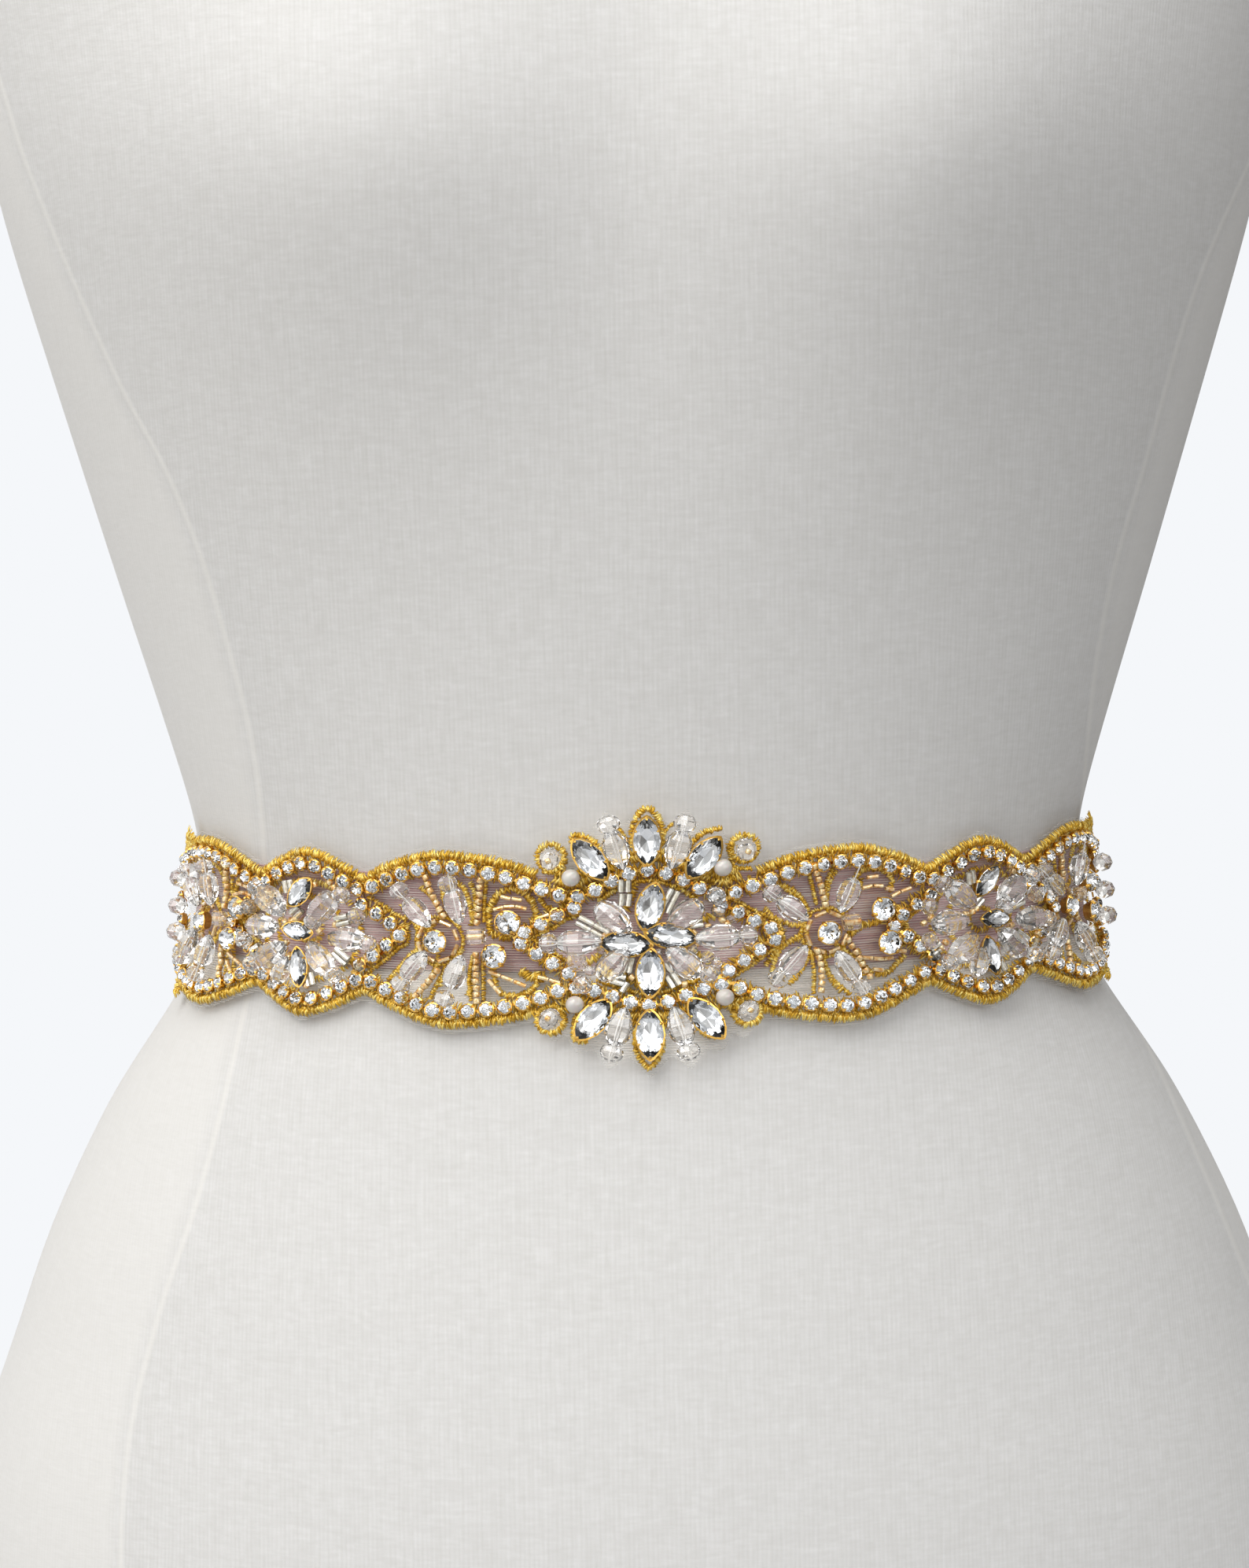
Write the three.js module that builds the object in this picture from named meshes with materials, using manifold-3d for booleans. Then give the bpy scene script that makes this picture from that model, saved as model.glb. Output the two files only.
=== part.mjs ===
// Bridal sash on a limbless dress form.
// Millimetres, +Z up. The form stands on its flat base at z = 0, faces -Y, and its axis is the Z axis.
// The sash is a ribbon round the waist with a scalloped net applique on its front half. The applique
// carries an embroidered border, cup chain and crystals.
import * as THREE from 'three';
import { mergeVertices } from 'three/addons/utils/BufferGeometryUtils.js';
import Module from 'manifold-3d';

const wasm = await Module();
wasm.setup();

// ---- driving dimensions ----
const waistHeight = 230;      // height of the sash's centre line above the base
const formColumns = 40;       // facets round the form
const bust = { x: 76, z: 405, rise: 26, reach: 50 };
const ribbon = { width: 22, above: 3.5, wall: 1, lift: 0.5, overlap: 40, step: 8 };
const net = { wall: 1, lift: 1.95, step: 3, rows: 6, margin: 5 };
const border = { width: 2.4, wall: 1, outside: 2.95 };    // embroidered band beyond the chain
const chain = { width: 2.6, wall: 2, vWall: 1.8 };
const trimLift = 3.4;         // height of the trim's underside above the form
const stoneLift = 3.6;        // height of the stones' flat backs above the form
const medallionShift = 1.6;   // the medallion sits this far to the right of centre front
const navette = { length: 9.6, width: 4.8, height: 3.2 };
const chaton = { radius: 2.7, height: 3.2 };
const drop = { length: 7.6, radius: 2.5, ballRadius: 1.9, ballAt: 5.4, sides: 6 };
const smallFlower = 80;       // distance of each small flower from the medallion
const end = { centre: 134, reach: 7 };                    // rounded end of the applique

// Sections of the dress form: half width at the sides, depth in front of and behind the axis.
const formSections = [
  { z: 0, halfWidth: 158, front: 98, back: 104 },
  { z: 12, halfWidth: 163, front: 103, back: 109 },
  { z: 40, halfWidth: 169, front: 110, back: 118 },
  { z: 75, halfWidth: 170, front: 112, back: 122 },
  { z: 105, halfWidth: 163, front: 110, back: 120 },
  { z: 130, halfWidth: 153, front: 106, back: 116 },
  { z: 152, halfWidth: 146, front: 102, back: 110 },
  { z: 181, halfWidth: 131.4, front: 95, back: 100 },
  { z: 200, halfWidth: 118.7, front: 91, back: 92 },
  { z: 212, halfWidth: 111, front: 88.6, back: 87 },
  { z: 224, halfWidth: 107.6, front: 87.2, back: 84.5 },
  { z: 236, halfWidth: 106.3, front: 87, back: 84 },
  { z: 250, halfWidth: 107.2, front: 88, back: 85 },
  { z: 276, halfWidth: 114.5, front: 91, back: 90 },
  { z: 310, halfWidth: 125, front: 96, back: 98 },
  { z: 352, halfWidth: 137.5, front: 101, back: 107 },
  { z: 390, halfWidth: 149, front: 104, back: 112 },
  { z: 430, halfWidth: 157, front: 103, back: 114 },
  { z: 470, halfWidth: 160, front: 97, back: 112 },
  { z: 510, halfWidth: 164, front: 86, back: 106 },
  { z: 540, halfWidth: 158, front: 74, back: 98 },
  { z: 562, halfWidth: 130, front: 66, back: 90 },
  { z: 580, halfWidth: 92, front: 60, back: 82 },
  { z: 596, halfWidth: 66, front: 56, back: 74 },
  { z: 620, halfWidth: 56, front: 54, back: 62 },
  { z: 650, halfWidth: 54, front: 54, back: 56 },
];
const extraFormRows = [190, 206, 218, 230, 243, 259, 292, 410];

// Chain line of the applique, measured from the medallion's centre; the two halves are alike.
const chainRows = [
  { u: 0, top: 16.1, bottom: -15 },
  { u: 4, top: 15.3, bottom: -14.3 },
  { u: 8, top: 13.6, bottom: -12.9 },
  { u: 12, top: 11.2, bottom: -11.5 },
  { u: 16.5, top: 9.9, bottom: -10.8 },
  { u: 21, top: 11.3, bottom: -12.2 },
  { u: 25, top: 12.6, bottom: -13.9 },
  { u: 33, top: 15.2, bottom: -15.7 },
  { u: 44, top: 16.6, bottom: -16.9 },
  { u: 51, top: 15.9, bottom: -15.4 },
  { u: 59, top: 13.2, bottom: -12.1 },
  { u: 65, top: 10.8, bottom: -10.2 },
  { u: 72, top: 13.8, bottom: -13.4 },
  { u: 80, top: 16.4, bottom: -16 },
  { u: 88, top: 13.8, bottom: -13.4 },
  { u: 95, top: 10.6, bottom: -10.2 },
  { u: 102, top: 12.8, bottom: -12.4 },
  { u: 110, top: 15.6, bottom: -15.4 },
  { u: 116, top: 16.5, bottom: -16.7 },
  { u: 125, top: 15.8, bottom: -15.8 },
  { u: 134, top: 13.4, bottom: -13 },
];
// Scalloped reach of the net round the fans above and below the medallion.
const fanRows = [
  { u: 0, reach: 31 },
  { u: 4, reach: 26.6 },
  { u: 8.5, reach: 30.4 },
  { u: 12.2, reach: 25.4 },
  { u: 15.4, reach: 26 },
  { u: 18, reach: 21.8 },
  { u: 20, reach: 22.8 },
  { u: 24.5, reach: 17.6 },
];

// Stones: u and v of the middle, and the turn of the long axis from level, anticlockwise.
const centreNavettes = [
  { u: 0.6, v: 8, turn: 76 },
  { u: -5.9, v: -0.9, turn: 176 },
  { u: 5.9, v: 0.9, turn: 352 },
  { u: 0.4, v: -8, turn: 268 },
];
const fanNavettes = [
  { u: 0, v: 23.4, turn: 90 },
  { u: 12.2, v: 19.3, turn: 50 },
  { u: -12.2, v: 19.3, turn: 130 },
  { u: 0, v: -22.6, turn: 270 },
  { u: 12.2, v: -19.1, turn: 310 },
  { u: -12.2, v: -19.1, turn: 230 },
];
const levelDrops = [
  { u: 14.7, v: 0.3, turn: 2 },
  { u: -14.7, v: -0.3, turn: 182 },
];
const cornerDrops = [
  { u: 9.1, v: 6.6, turn: 36 },
  { u: -8.6, v: 6.3, turn: 140 },
  { u: -8.7, v: -6.5, turn: 226 },
  { u: 8.7, v: -6.3, turn: 320 },
];
const fanDrops = [
  { u: 6.4, v: 21.6, turn: 72 },
  { u: -6.4, v: 21.6, turn: 108 },
  { u: 6.4, v: -20.9, turn: 288 },
  { u: -6.4, v: -20.9, turn: 252 },
];
const leftOvalDrops = [
  { u: -50.6, v: 6.4, turn: 131 },
  { u: -41.6, v: 7.9, turn: 106 },
  { u: -51.2, v: -5.9, turn: 232 },
  { u: -41.8, v: -7.9, turn: 252 },
];
const rightOvalDrops = [
  { u: 31.4, v: 6.2, turn: 140 },
  { u: 43.2, v: 7.5, turn: 74 },
  { u: 31.4, v: -6.2, turn: 222 },
  { u: 42.2, v: -7.9, turn: 296 },
];
const leftChatons = [
  { u: -46.7, v: -0.6 },
  { u: -30, v: 4.8 },
  { u: -33, v: -2.9 },
];
const rightChatons = [
  { u: 38.2, v: 0.2 },
  { u: 51.2, v: 4.8 },
  { u: 51.7, v: -3.4 },
];
// Arms of the cup-chain points: where each arm starts and where it meets the round tip.
const centreV = { root: 15.9, rootHeight: 7.2, tip: 25.4, tipRadius: 1.9 };
const sideV = { root: 16, rootHeight: 6.4, tip: 23, tipRadius: 1.9 };

const colours = {
  jersey: { color: 0xe6e3dc, roughness: 0.9, metalness: 0 },
  ribbon: { color: 0xc9a7a4, roughness: 0.55, metalness: 0 },
  net: { color: 0xede8e0, roughness: 0.8, metalness: 0 },
  goldThread: { color: 0xc79a2b, roughness: 0.5, metalness: 0.2 },
  goldSetting: { color: 0xd9a83c, roughness: 0.3, metalness: 1 },
  crystal: { color: 0xe9eef2, roughness: 0.05, metalness: 0 },
};

// ---- curves through a table ----
function slopeAt(rows, key, column, i) {
  const before = rows[Math.max(i - 1, 0)];
  const after = rows[Math.min(i + 1, rows.length - 1)];
  return (after[column] - before[column]) / (after[key] - before[key]);
}

// Cubic curve through the rows of a table, read at x.
function readCurve(rows, key, column, x) {
  let i = 0;
  while (i < rows.length - 2 && x > rows[i + 1][key]) i += 1;
  const gap = rows[i + 1][key] - rows[i][key];
  const t = Math.min(Math.max((x - rows[i][key]) / gap, 0), 1);
  const startSlope = slopeAt(rows, key, column, i) * gap;
  const endSlope = slopeAt(rows, key, column, i + 1) * gap;
  const rise = rows[i + 1][column] - rows[i][column];
  const cubic = startSlope + endSlope - 2 * rise;
  const square = 3 * rise - 2 * startSlope - endSlope;
  return rows[i][column] + t * (startSlope + t * (square + t * cubic));
}

// ---- the form's surface, and the sash's own coordinates on it ----
function formPoint(angle, z) {
  const halfWidth = readCurve(formSections, 'z', 'halfWidth', z);
  const depth = readCurve(formSections, 'z', Math.cos(angle) > 0 ? 'front' : 'back', z);
  const radius = 1 / Math.hypot(Math.sin(angle) / halfWidth, Math.cos(angle) / depth);
  const x = radius * Math.sin(angle);
  const y = -radius * Math.cos(angle);
  const spread = ((Math.abs(x) - bust.x) ** 2 + (z - bust.z) ** 2) / bust.reach ** 2;
  const rise = bust.rise * Math.exp(-spread) * Math.max(Math.cos(angle), 0);
  return new THREE.Vector3(x, y - rise, z);
}

const arcSteps = 720;
const waistArc = [{ angle: 0, length: 0 }];
for (let i = 1; i <= arcSteps; i += 1) {
  const angle = (Math.PI * i) / arcSteps;
  const gap = formPoint(angle, waistHeight).distanceTo(formPoint(waistArc[i - 1].angle, waistHeight));
  waistArc.push({ angle, length: waistArc[i - 1].length + gap });
}
const halfWaist = waistArc[arcSteps].length;

function angleAt(u) {
  const length = Math.abs(u);
  if (length >= halfWaist) return Math.sign(u) * Math.PI * (length / halfWaist);
  let i = 1;
  while (waistArc[i].length < length) i += 1;
  const t = (length - waistArc[i - 1].length) / (waistArc[i].length - waistArc[i - 1].length);
  return Math.sign(u) * (waistArc[i - 1].angle + (t * Math.PI) / arcSteps);
}

// Frame on the sash at u round from centre front and v above its centre line.
function sashFrame(u, v) {
  const reach = 0.5;
  const z = waistHeight + v;
  const across = formPoint(angleAt(u + reach), z).sub(formPoint(angleAt(u - reach), z)).normalize();
  const up = formPoint(angleAt(u), z + reach).sub(formPoint(angleAt(u), z - reach)).normalize();
  const out = new THREE.Vector3().crossVectors(across, up).normalize();
  return { point: formPoint(angleAt(u), z), across, up: out.clone().cross(across), out };
}

function sashPoint(u, v, lift) {
  const { point, out } = sashFrame(u, v);
  return point.addScaledVector(out, lift);
}

// ---- meshes from rings of points ----
function addFace(target, a, b, c) {
  target.push(...a.toArray(), ...b.toArray(), ...c.toArray());
}

// Rings run clockwise seen from the first one towards the last. Each end is closed by a fan.
function loftRings(rings) {
  const triangles = [];
  const count = rings[0].length;
  for (let i = 0; i + 1 < rings.length; i += 1) {
    for (let j = 0; j < count; j += 1) {
      const k = (j + 1) % count;
      addFace(triangles, rings[i][j], rings[i][k], rings[i + 1][k]);
      addFace(triangles, rings[i][j], rings[i + 1][k], rings[i + 1][j]);
    }
  }
  const middleOf = (ring) => ring.reduce((sum, p) => sum.add(p), new THREE.Vector3()).divideScalar(count);
  const first = rings[0];
  const last = rings[rings.length - 1];
  for (let j = 0; j < count; j += 1) {
    const k = (j + 1) % count;
    addFace(triangles, middleOf(first), first[k], first[j]);
    addFace(triangles, middleOf(last), last[j], last[k]);
  }
  return fromTriangles(triangles);
}

// A wall between an inner and an outer sheet, each given as columns of points from bottom to top.
function wallBetween(inner, outer) {
  const triangles = [];
  const addQuad = (a, b, c, d) => {
    addFace(triangles, a, b, c);
    addFace(triangles, a, c, d);
  };
  const top = inner[0].length - 1;
  for (let i = 0; i + 1 < inner.length; i += 1) {
    for (let j = 0; j < top; j += 1) {
      addQuad(outer[i][j], outer[i + 1][j], outer[i + 1][j + 1], outer[i][j + 1]);
      addQuad(inner[i][j], inner[i][j + 1], inner[i + 1][j + 1], inner[i + 1][j]);
    }
    addQuad(inner[i][0], inner[i + 1][0], outer[i + 1][0], outer[i][0]);
    addQuad(outer[i][top], outer[i + 1][top], inner[i + 1][top], inner[i][top]);
  }
  const last = inner.length - 1;
  for (let j = 0; j < top; j += 1) {
    addQuad(inner[0][j], outer[0][j], outer[0][j + 1], inner[0][j + 1]);
    addQuad(outer[last][j], inner[last][j], inner[last][j + 1], outer[last][j + 1]);
  }
  return fromTriangles(triangles);
}

function fromTriangles(triangles) {
  const geometry = new THREE.BufferGeometry();
  geometry.setAttribute('position', new THREE.Float32BufferAttribute(triangles, 3));
  const merged = mergeVertices(geometry, 1e-4);
  merged.computeVertexNormals();
  return merged;
}

function toSolid(geometry) {
  const bare = geometry.clone();
  bare.deleteAttribute('normal');
  bare.deleteAttribute('uv');
  const merged = mergeVertices(bare, 1e-4);
  return new wasm.Manifold(new wasm.Mesh({
    numProp: 3,
    vertProperties: new Float32Array(merged.attributes.position.array),
    triVerts: new Uint32Array(merged.index.array),
  }));
}

function fromSolid(solid) {
  const mesh = solid.getMesh();
  const geometry = new THREE.BufferGeometry();
  geometry.setAttribute('position', new THREE.BufferAttribute(mesh.vertProperties, 3));
  geometry.setIndex(new THREE.BufferAttribute(mesh.triVerts, 1));
  geometry.computeVertexNormals();
  return geometry;
}

const sash = new THREE.Group();

function addPiece(name, geometry, finish, parent = sash) {
  const mesh = new THREE.Mesh(geometry, new THREE.MeshStandardMaterial(finish));
  mesh.name = name;
  parent.add(mesh);
  return mesh;
}

// ---- dress form ----
function makeForm() {
  const heights = [...formSections.map((row) => row.z), ...extraFormRows].sort((a, b) => a - b);
  const ringAt = (z) => Array.from({ length: formColumns }, (_, i) => {
    return formPoint((2 * Math.PI * i) / formColumns, z);
  });
  return loftRings(heights.map(ringAt));
}

// ---- ribbon: one strip round the waist, its outer end lying over its inner end at centre back ----
function makeRibbon() {
  const half = ribbon.width / 2;
  const heights = [-half, 0, half].map((h) => ribbon.above + h);
  const whole = 2 * halfWaist + ribbon.overlap;
  const steps = Math.round(whole / ribbon.step);
  const inner = [];
  const outer = [];
  for (let i = 0; i <= steps; i += 1) {
    const along = (whole * i) / steps;
    const u = along - halfWaist - ribbon.overlap / 2;
    const climb = THREE.MathUtils.smoothstep(along, whole - 1.8 * ribbon.overlap, whole - 1.05 * ribbon.overlap);
    const lift = ribbon.lift + climb * (ribbon.wall + 0.3);
    inner.push(heights.map((v) => sashPoint(wrapped(u), v, lift)));
    outer.push(heights.map((v) => sashPoint(wrapped(u), v, lift + ribbon.wall)));
  }
  return wallBetween(inner, outer);
}

// Distances past centre back come round from the other side.
function wrapped(u) {
  if (u > halfWaist) return u - 2 * halfWaist;
  if (u < -halfWaist) return u + 2 * halfWaist;
  return u;
}

// ---- net applique ----
function netReach(u, side) {
  const distance = Math.abs(u);
  const lastFan = fanRows[fanRows.length - 1].u;
  if (distance < lastFan) return side * readCurve(fanRows, 'u', 'reach', distance);
  const column = side > 0 ? 'top' : 'bottom';
  const chainHeight = readCurve(chainRows, 'u', column, Math.min(distance, end.centre));
  const past = Math.max(distance - end.centre, 0) / (end.reach + net.margin);
  return (chainHeight + side * net.margin) * Math.sqrt(1 - past ** 2);
}

function makeNet() {
  const last = end.centre + end.reach + net.margin - 0.6;
  const count = Math.round(last / net.step);
  const stops = [];
  for (let i = -count; i <= count; i += 1) stops.push((last * i) / count);
  const sheet = (lift) => stops.map((u) => {
    const low = netReach(u, -1);
    const high = netReach(u, 1);
    return Array.from({ length: net.rows }, (_, j) => {
      return sashPoint(u + medallionShift, low + ((high - low) * j) / (net.rows - 1), lift);
    });
  });
  return wallBetween(sheet(net.lift), sheet(net.lift + net.wall));
}

// ---- strips laid along a path of { u, v } on the sash ----
function offsetPath(path, distance) {
  return path.map((stop, i) => {
    const before = path[Math.max(i - 1, 0)];
    const after = path[Math.min(i + 1, path.length - 1)];
    const span = Math.hypot(after.u - before.u, after.v - before.v);
    return {
      u: stop.u - ((after.v - before.v) / span) * distance,
      v: stop.v + ((after.u - before.u) / span) * distance,
    };
  });
}

function makeStrip(path, width, wall) {
  const lower = offsetPath(path, -width / 2);
  const upper = offsetPath(path, width / 2);
  const sheet = (lift) => path.map((_, i) => [lower[i], upper[i]].map((stop) => {
    return sashPoint(stop.u + medallionShift, stop.v, lift);
  }));
  return wallBetween(sheet(trimLift), sheet(trimLift + wall));
}

// Line of the chain over the top or under the bottom, from left end to right end, with round ends.
function chainLine(column, from, to, step, roundFrom, roundTo) {
  const heightAt = (u) => readCurve(chainRows, 'u', column, Math.abs(u));
  const endHeight = heightAt(end.centre);
  const roundEnd = (side) => [8, 26, 44, 60, 75].map((degrees) => {
    const angle = THREE.MathUtils.degToRad(degrees);
    return { u: side * (end.centre + end.reach * Math.cos(angle)), v: endHeight * Math.sin(angle) };
  });
  const count = Math.round((to - from) / step);
  const middle = Array.from({ length: count + 1 }, (_, i) => {
    const u = from + ((to - from) * i) / count;
    return { u, v: heightAt(u) };
  });
  const start = roundFrom ? roundEnd(-1) : [];
  const finish = roundTo ? roundEnd(1).reverse() : [];
  return [...start, ...middle, ...finish];
}

// Cup chain in a point: two arms and a round tip at the side given.
function pointLine(centre, side, shape) {
  const arm = (sign) => [0, 0.5].map((t) => ({
    u: shape.root + (shape.tip - shape.root) * t,
    v: sign * (shape.rootHeight + (shape.tipRadius - shape.rootHeight) * t),
  }));
  const tip = [60, 30, 0, -30, -60].map((degrees) => {
    const angle = THREE.MathUtils.degToRad(degrees);
    return { u: shape.tip + shape.tipRadius * Math.cos(angle), v: shape.tipRadius * Math.sin(angle) };
  });
  const line = [...arm(1), ...tip, ...arm(-1).reverse()];
  return line.map((stop) => ({ u: centre + side * stop.u, v: stop.v }));
}

// ---- stones ----
function outlineRing(outline, scale, height) {
  return outline.map(([x, y]) => new THREE.Vector3(x * scale, y * scale, height));
}

// A cut stone: flat back, wide girdle and a small table, over any outline.
function cutStone(outline, height) {
  return loftRings([
    outlineRing(outline, 0.7, 0),
    outlineRing(outline, 1, 0.35 * height),
    outlineRing(outline, 0.5, height),
  ]);
}

function navetteOutline() {
  const count = 10;
  return Array.from({ length: count }, (_, i) => {
    const angle = (2 * Math.PI * i) / count;
    const x = Math.cos(angle);
    return [(navette.length / 2) * x, Math.sign(Math.sin(angle)) * (navette.width / 2) * (1 - x * x)];
  });
}

function roundOutline(radius, count) {
  return Array.from({ length: count }, (_, i) => {
    const angle = (2 * Math.PI * i) / count;
    return [radius * Math.cos(angle), radius * Math.sin(angle)];
  });
}

// A glass drop threaded along X, with or without a ball beyond its wide end.
function glassDrop(withBall) {
  const half = drop.length / 2;
  const { radius, ballRadius, ballAt } = drop;
  const body = [
    [0, -half],
    [0.4 * radius, -0.8 * half],
    [radius, 0.15 * half],
    [0.75 * radius, 0.75 * half],
  ];
  const ball = [
    [0.25 * radius, half],
    [0.85 * ballRadius, ballAt - 0.5 * ballRadius],
    [ballRadius, ballAt],
    [0.85 * ballRadius, ballAt + 0.5 * ballRadius],
    [0, ballAt + ballRadius],
  ];
  const profile = withBall ? [...body, ...ball] : [...body, [0, half]];
  const points = profile.map(([r, along]) => new THREE.Vector2(r, along));
  return new THREE.LatheGeometry(points, drop.sides).rotateZ(-Math.PI / 2);
}

function seat(mesh, stone, lift) {
  const { point, across, up, out } = sashFrame(stone.u + medallionShift, stone.v);
  const turn = THREE.MathUtils.degToRad(stone.turn ?? 0);
  const along = across.clone().multiplyScalar(Math.cos(turn)).addScaledVector(up, Math.sin(turn));
  const aside = out.clone().cross(along);
  mesh.quaternion.setFromRotationMatrix(new THREE.Matrix4().makeBasis(along, aside, out));
  mesh.position.copy(point.addScaledVector(out, lift));
}

function addStones(name, rows, geometry, lift) {
  rows.forEach((stone, i) => seat(addPiece(`${name}_${i + 1}`, geometry, colours.crystal), stone, lift));
}

// Small flower: navettes and drops round one centre, joined where they are threaded together.
function makeSmallFlower() {
  const ring = 6.2;
  const parts = [toSolid(cutStone(roundOutline(2.6, 8), 3))];
  for (let i = 0; i < 8; i += 1) {
    const angle = (Math.PI * i) / 4;
    const petal = i % 2 ? cutStone(navetteOutline(), navette.height) : cutStone(roundOutline(2.4, 6), 3.6);
    petal.rotateZ(angle);
    petal.translate(ring * Math.cos(angle), ring * Math.sin(angle), 0);
    parts.push(toSolid(petal));
  }
  return fromSolid(parts.reduce((whole, part) => whole.add(part)));
}

// ---- the object ----
addPiece('dress_form', makeForm(), colours.jersey);
addPiece('ribbon', makeRibbon(), colours.ribbon);
addPiece('net_applique', makeNet(), colours.net);

const borderFrom = 23;
for (const side of [1, -1]) {
  const name = side > 0 ? 'right' : 'left';
  for (const [column, outward] of [['top', 1], ['bottom', -1]]) {
    const line = side > 0
      ? chainLine(column, borderFrom, end.centre, 3.4, false, true)
      : chainLine(column, -end.centre, -borderFrom, 3.4, true, false);
    const path = offsetPath(line, outward * border.outside);
    addPiece(`border_${column}_${name}`, makeStrip(path, border.width, border.wall), colours.goldThread);
  }
}
for (const column of ['top', 'bottom']) {
  const line = chainLine(column, -end.centre, end.centre, 3.35, true, true);
  addPiece(`chain_${column}`, makeStrip(line, chain.width, chain.wall), colours.goldSetting);
}
for (const side of [1, -1]) {
  const name = side > 0 ? 'right' : 'left';
  const points = [
    [`chain_point_centre_${name}`, 0, side, centreV],
    [`chain_point_inner_${name}`, side * smallFlower, -side, sideV],
    [`chain_point_outer_${name}`, side * smallFlower, side, sideV],
  ];
  for (const [pieceName, centre, way, shape] of points) {
    const line = pointLine(centre, way, shape);
    addPiece(pieceName, makeStrip(line, chain.width, chain.vWall), colours.goldSetting);
  }
}

const navetteStone = cutStone(navetteOutline(), navette.height);
const chatonStone = cutStone(roundOutline(chaton.radius, 8), chaton.height);
const dropStone = glassDrop(true);
const dropLift = stoneLift + drop.radius;
addStones('navette_centre', centreNavettes, navetteStone, stoneLift);
addStones('navette_fan', fanNavettes, navetteStone, stoneLift);
addStones('drop_level', levelDrops, dropStone, dropLift);
addStones('drop_corner', cornerDrops, glassDrop(false), dropLift);
addStones('drop_fan', fanDrops, dropStone, dropLift);
addStones('drop_oval_left', leftOvalDrops, dropStone, dropLift);
addStones('drop_oval_right', rightOvalDrops, dropStone, dropLift);
addStones('chaton_left', leftChatons, chatonStone, stoneLift);
addStones('chaton_right', rightChatons, chatonStone, stoneLift);
for (const side of [1, -1]) {
  const flower = addPiece(side > 0 ? 'flower_right' : 'flower_left', makeSmallFlower(), colours.crystal);
  seat(flower, { u: side * smallFlower, v: 0 }, stoneLift);
}

export default sash;
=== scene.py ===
import math
import bmesh
import bpy
import numpy as np
from mathutils import Matrix, Vector
from mathutils.bvhtree import BVHTree


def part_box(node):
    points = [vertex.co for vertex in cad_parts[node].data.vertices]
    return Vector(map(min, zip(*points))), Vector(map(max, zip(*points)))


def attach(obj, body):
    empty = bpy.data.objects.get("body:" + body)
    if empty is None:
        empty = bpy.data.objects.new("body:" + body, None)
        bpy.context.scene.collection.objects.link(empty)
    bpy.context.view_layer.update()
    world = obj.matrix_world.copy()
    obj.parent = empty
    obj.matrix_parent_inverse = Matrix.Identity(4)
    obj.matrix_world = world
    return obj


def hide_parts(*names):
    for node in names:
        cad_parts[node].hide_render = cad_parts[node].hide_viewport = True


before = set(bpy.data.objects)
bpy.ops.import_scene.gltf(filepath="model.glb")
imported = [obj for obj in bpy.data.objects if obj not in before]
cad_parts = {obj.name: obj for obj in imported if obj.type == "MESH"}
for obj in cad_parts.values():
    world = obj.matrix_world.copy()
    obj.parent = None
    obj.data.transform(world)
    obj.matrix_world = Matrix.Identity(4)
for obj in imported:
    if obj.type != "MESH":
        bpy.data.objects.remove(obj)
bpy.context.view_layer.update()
mm = 0.001
rng = np.random.default_rng(24)
scene = bpy.context.scene


# ---------- helpers for nodes and materials ----------
def toLinear(hexColour, alpha=1.0):
    channels = [int(hexColour[i:i + 2], 16) / 255 for i in (1, 3, 5)]
    linear = [c / 12.92 if c <= 0.04045 else ((c + 0.055) / 1.055) ** 2.4 for c in channels]
    return (*linear, alpha)


def addNode(tree, kind, settings=None, links=None):
    node = tree.nodes.new(kind)
    for key, value in (settings or {}).items():
        if isinstance(key, int) or key in node.inputs:
            node.inputs[key].default_value = value
        else:
            setattr(node, key, value)
    for key, source in (links or {}).items():
        tree.links.new(source, node.inputs[key])
    return node


def startMaterial(name, settings):
    material = bpy.data.materials.new(name)
    material.use_nodes = True
    tree = material.node_tree
    tree.nodes.clear()
    shader = addNode(tree, "ShaderNodeBsdfPrincipled", settings)
    addNode(tree, "ShaderNodeOutputMaterial", links={"Surface": shader.outputs["BSDF"]})
    return material, tree, shader


def mixColours(tree, factor, first, second, blend="MIX"):
    mix = addNode(tree, "ShaderNodeMix", {"data_type": "RGBA", "blend_type": blend})
    for index, source in ((0, factor), (6, first), (7, second)):
        if isinstance(source, bpy.types.NodeSocket):
            tree.links.new(source, mix.inputs[index])
        else:
            mix.inputs[index].default_value = source
    return mix.outputs[2]


# ---------- the waist as a coordinate system ----------
# Trim is modelled flat: x runs round the waist from centre front, y up from the sash's centre line,
# and z is the lift above the form, all in metres. wrapFlat bends it onto the form.
ribbonLow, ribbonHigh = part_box("ribbon")
ribbonRise = 3.5 * mm      # the ribbon lies this far above the centre line
waistHeight = (ribbonLow.z + ribbonHigh.z) / 2 - ribbonRise


def mergedCopy(node):
    bm = bmesh.new()
    bm.from_mesh(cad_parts[node].data)
    bmesh.ops.remove_doubles(bm, verts=bm.verts, dist=0.02 * mm)
    return bm


def addPiece(name, bm, materials, smooth=False):
    mesh = bpy.data.meshes.new(name)
    bm.to_mesh(mesh)
    bm.free()
    mesh.polygons.foreach_set("use_smooth", [smooth] * len(mesh.polygons))
    piece = bpy.data.objects.new(name, mesh)
    scene.collection.objects.link(piece)
    for material in materials:
        mesh.materials.append(material)
    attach(piece, "root")
    return piece


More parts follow.
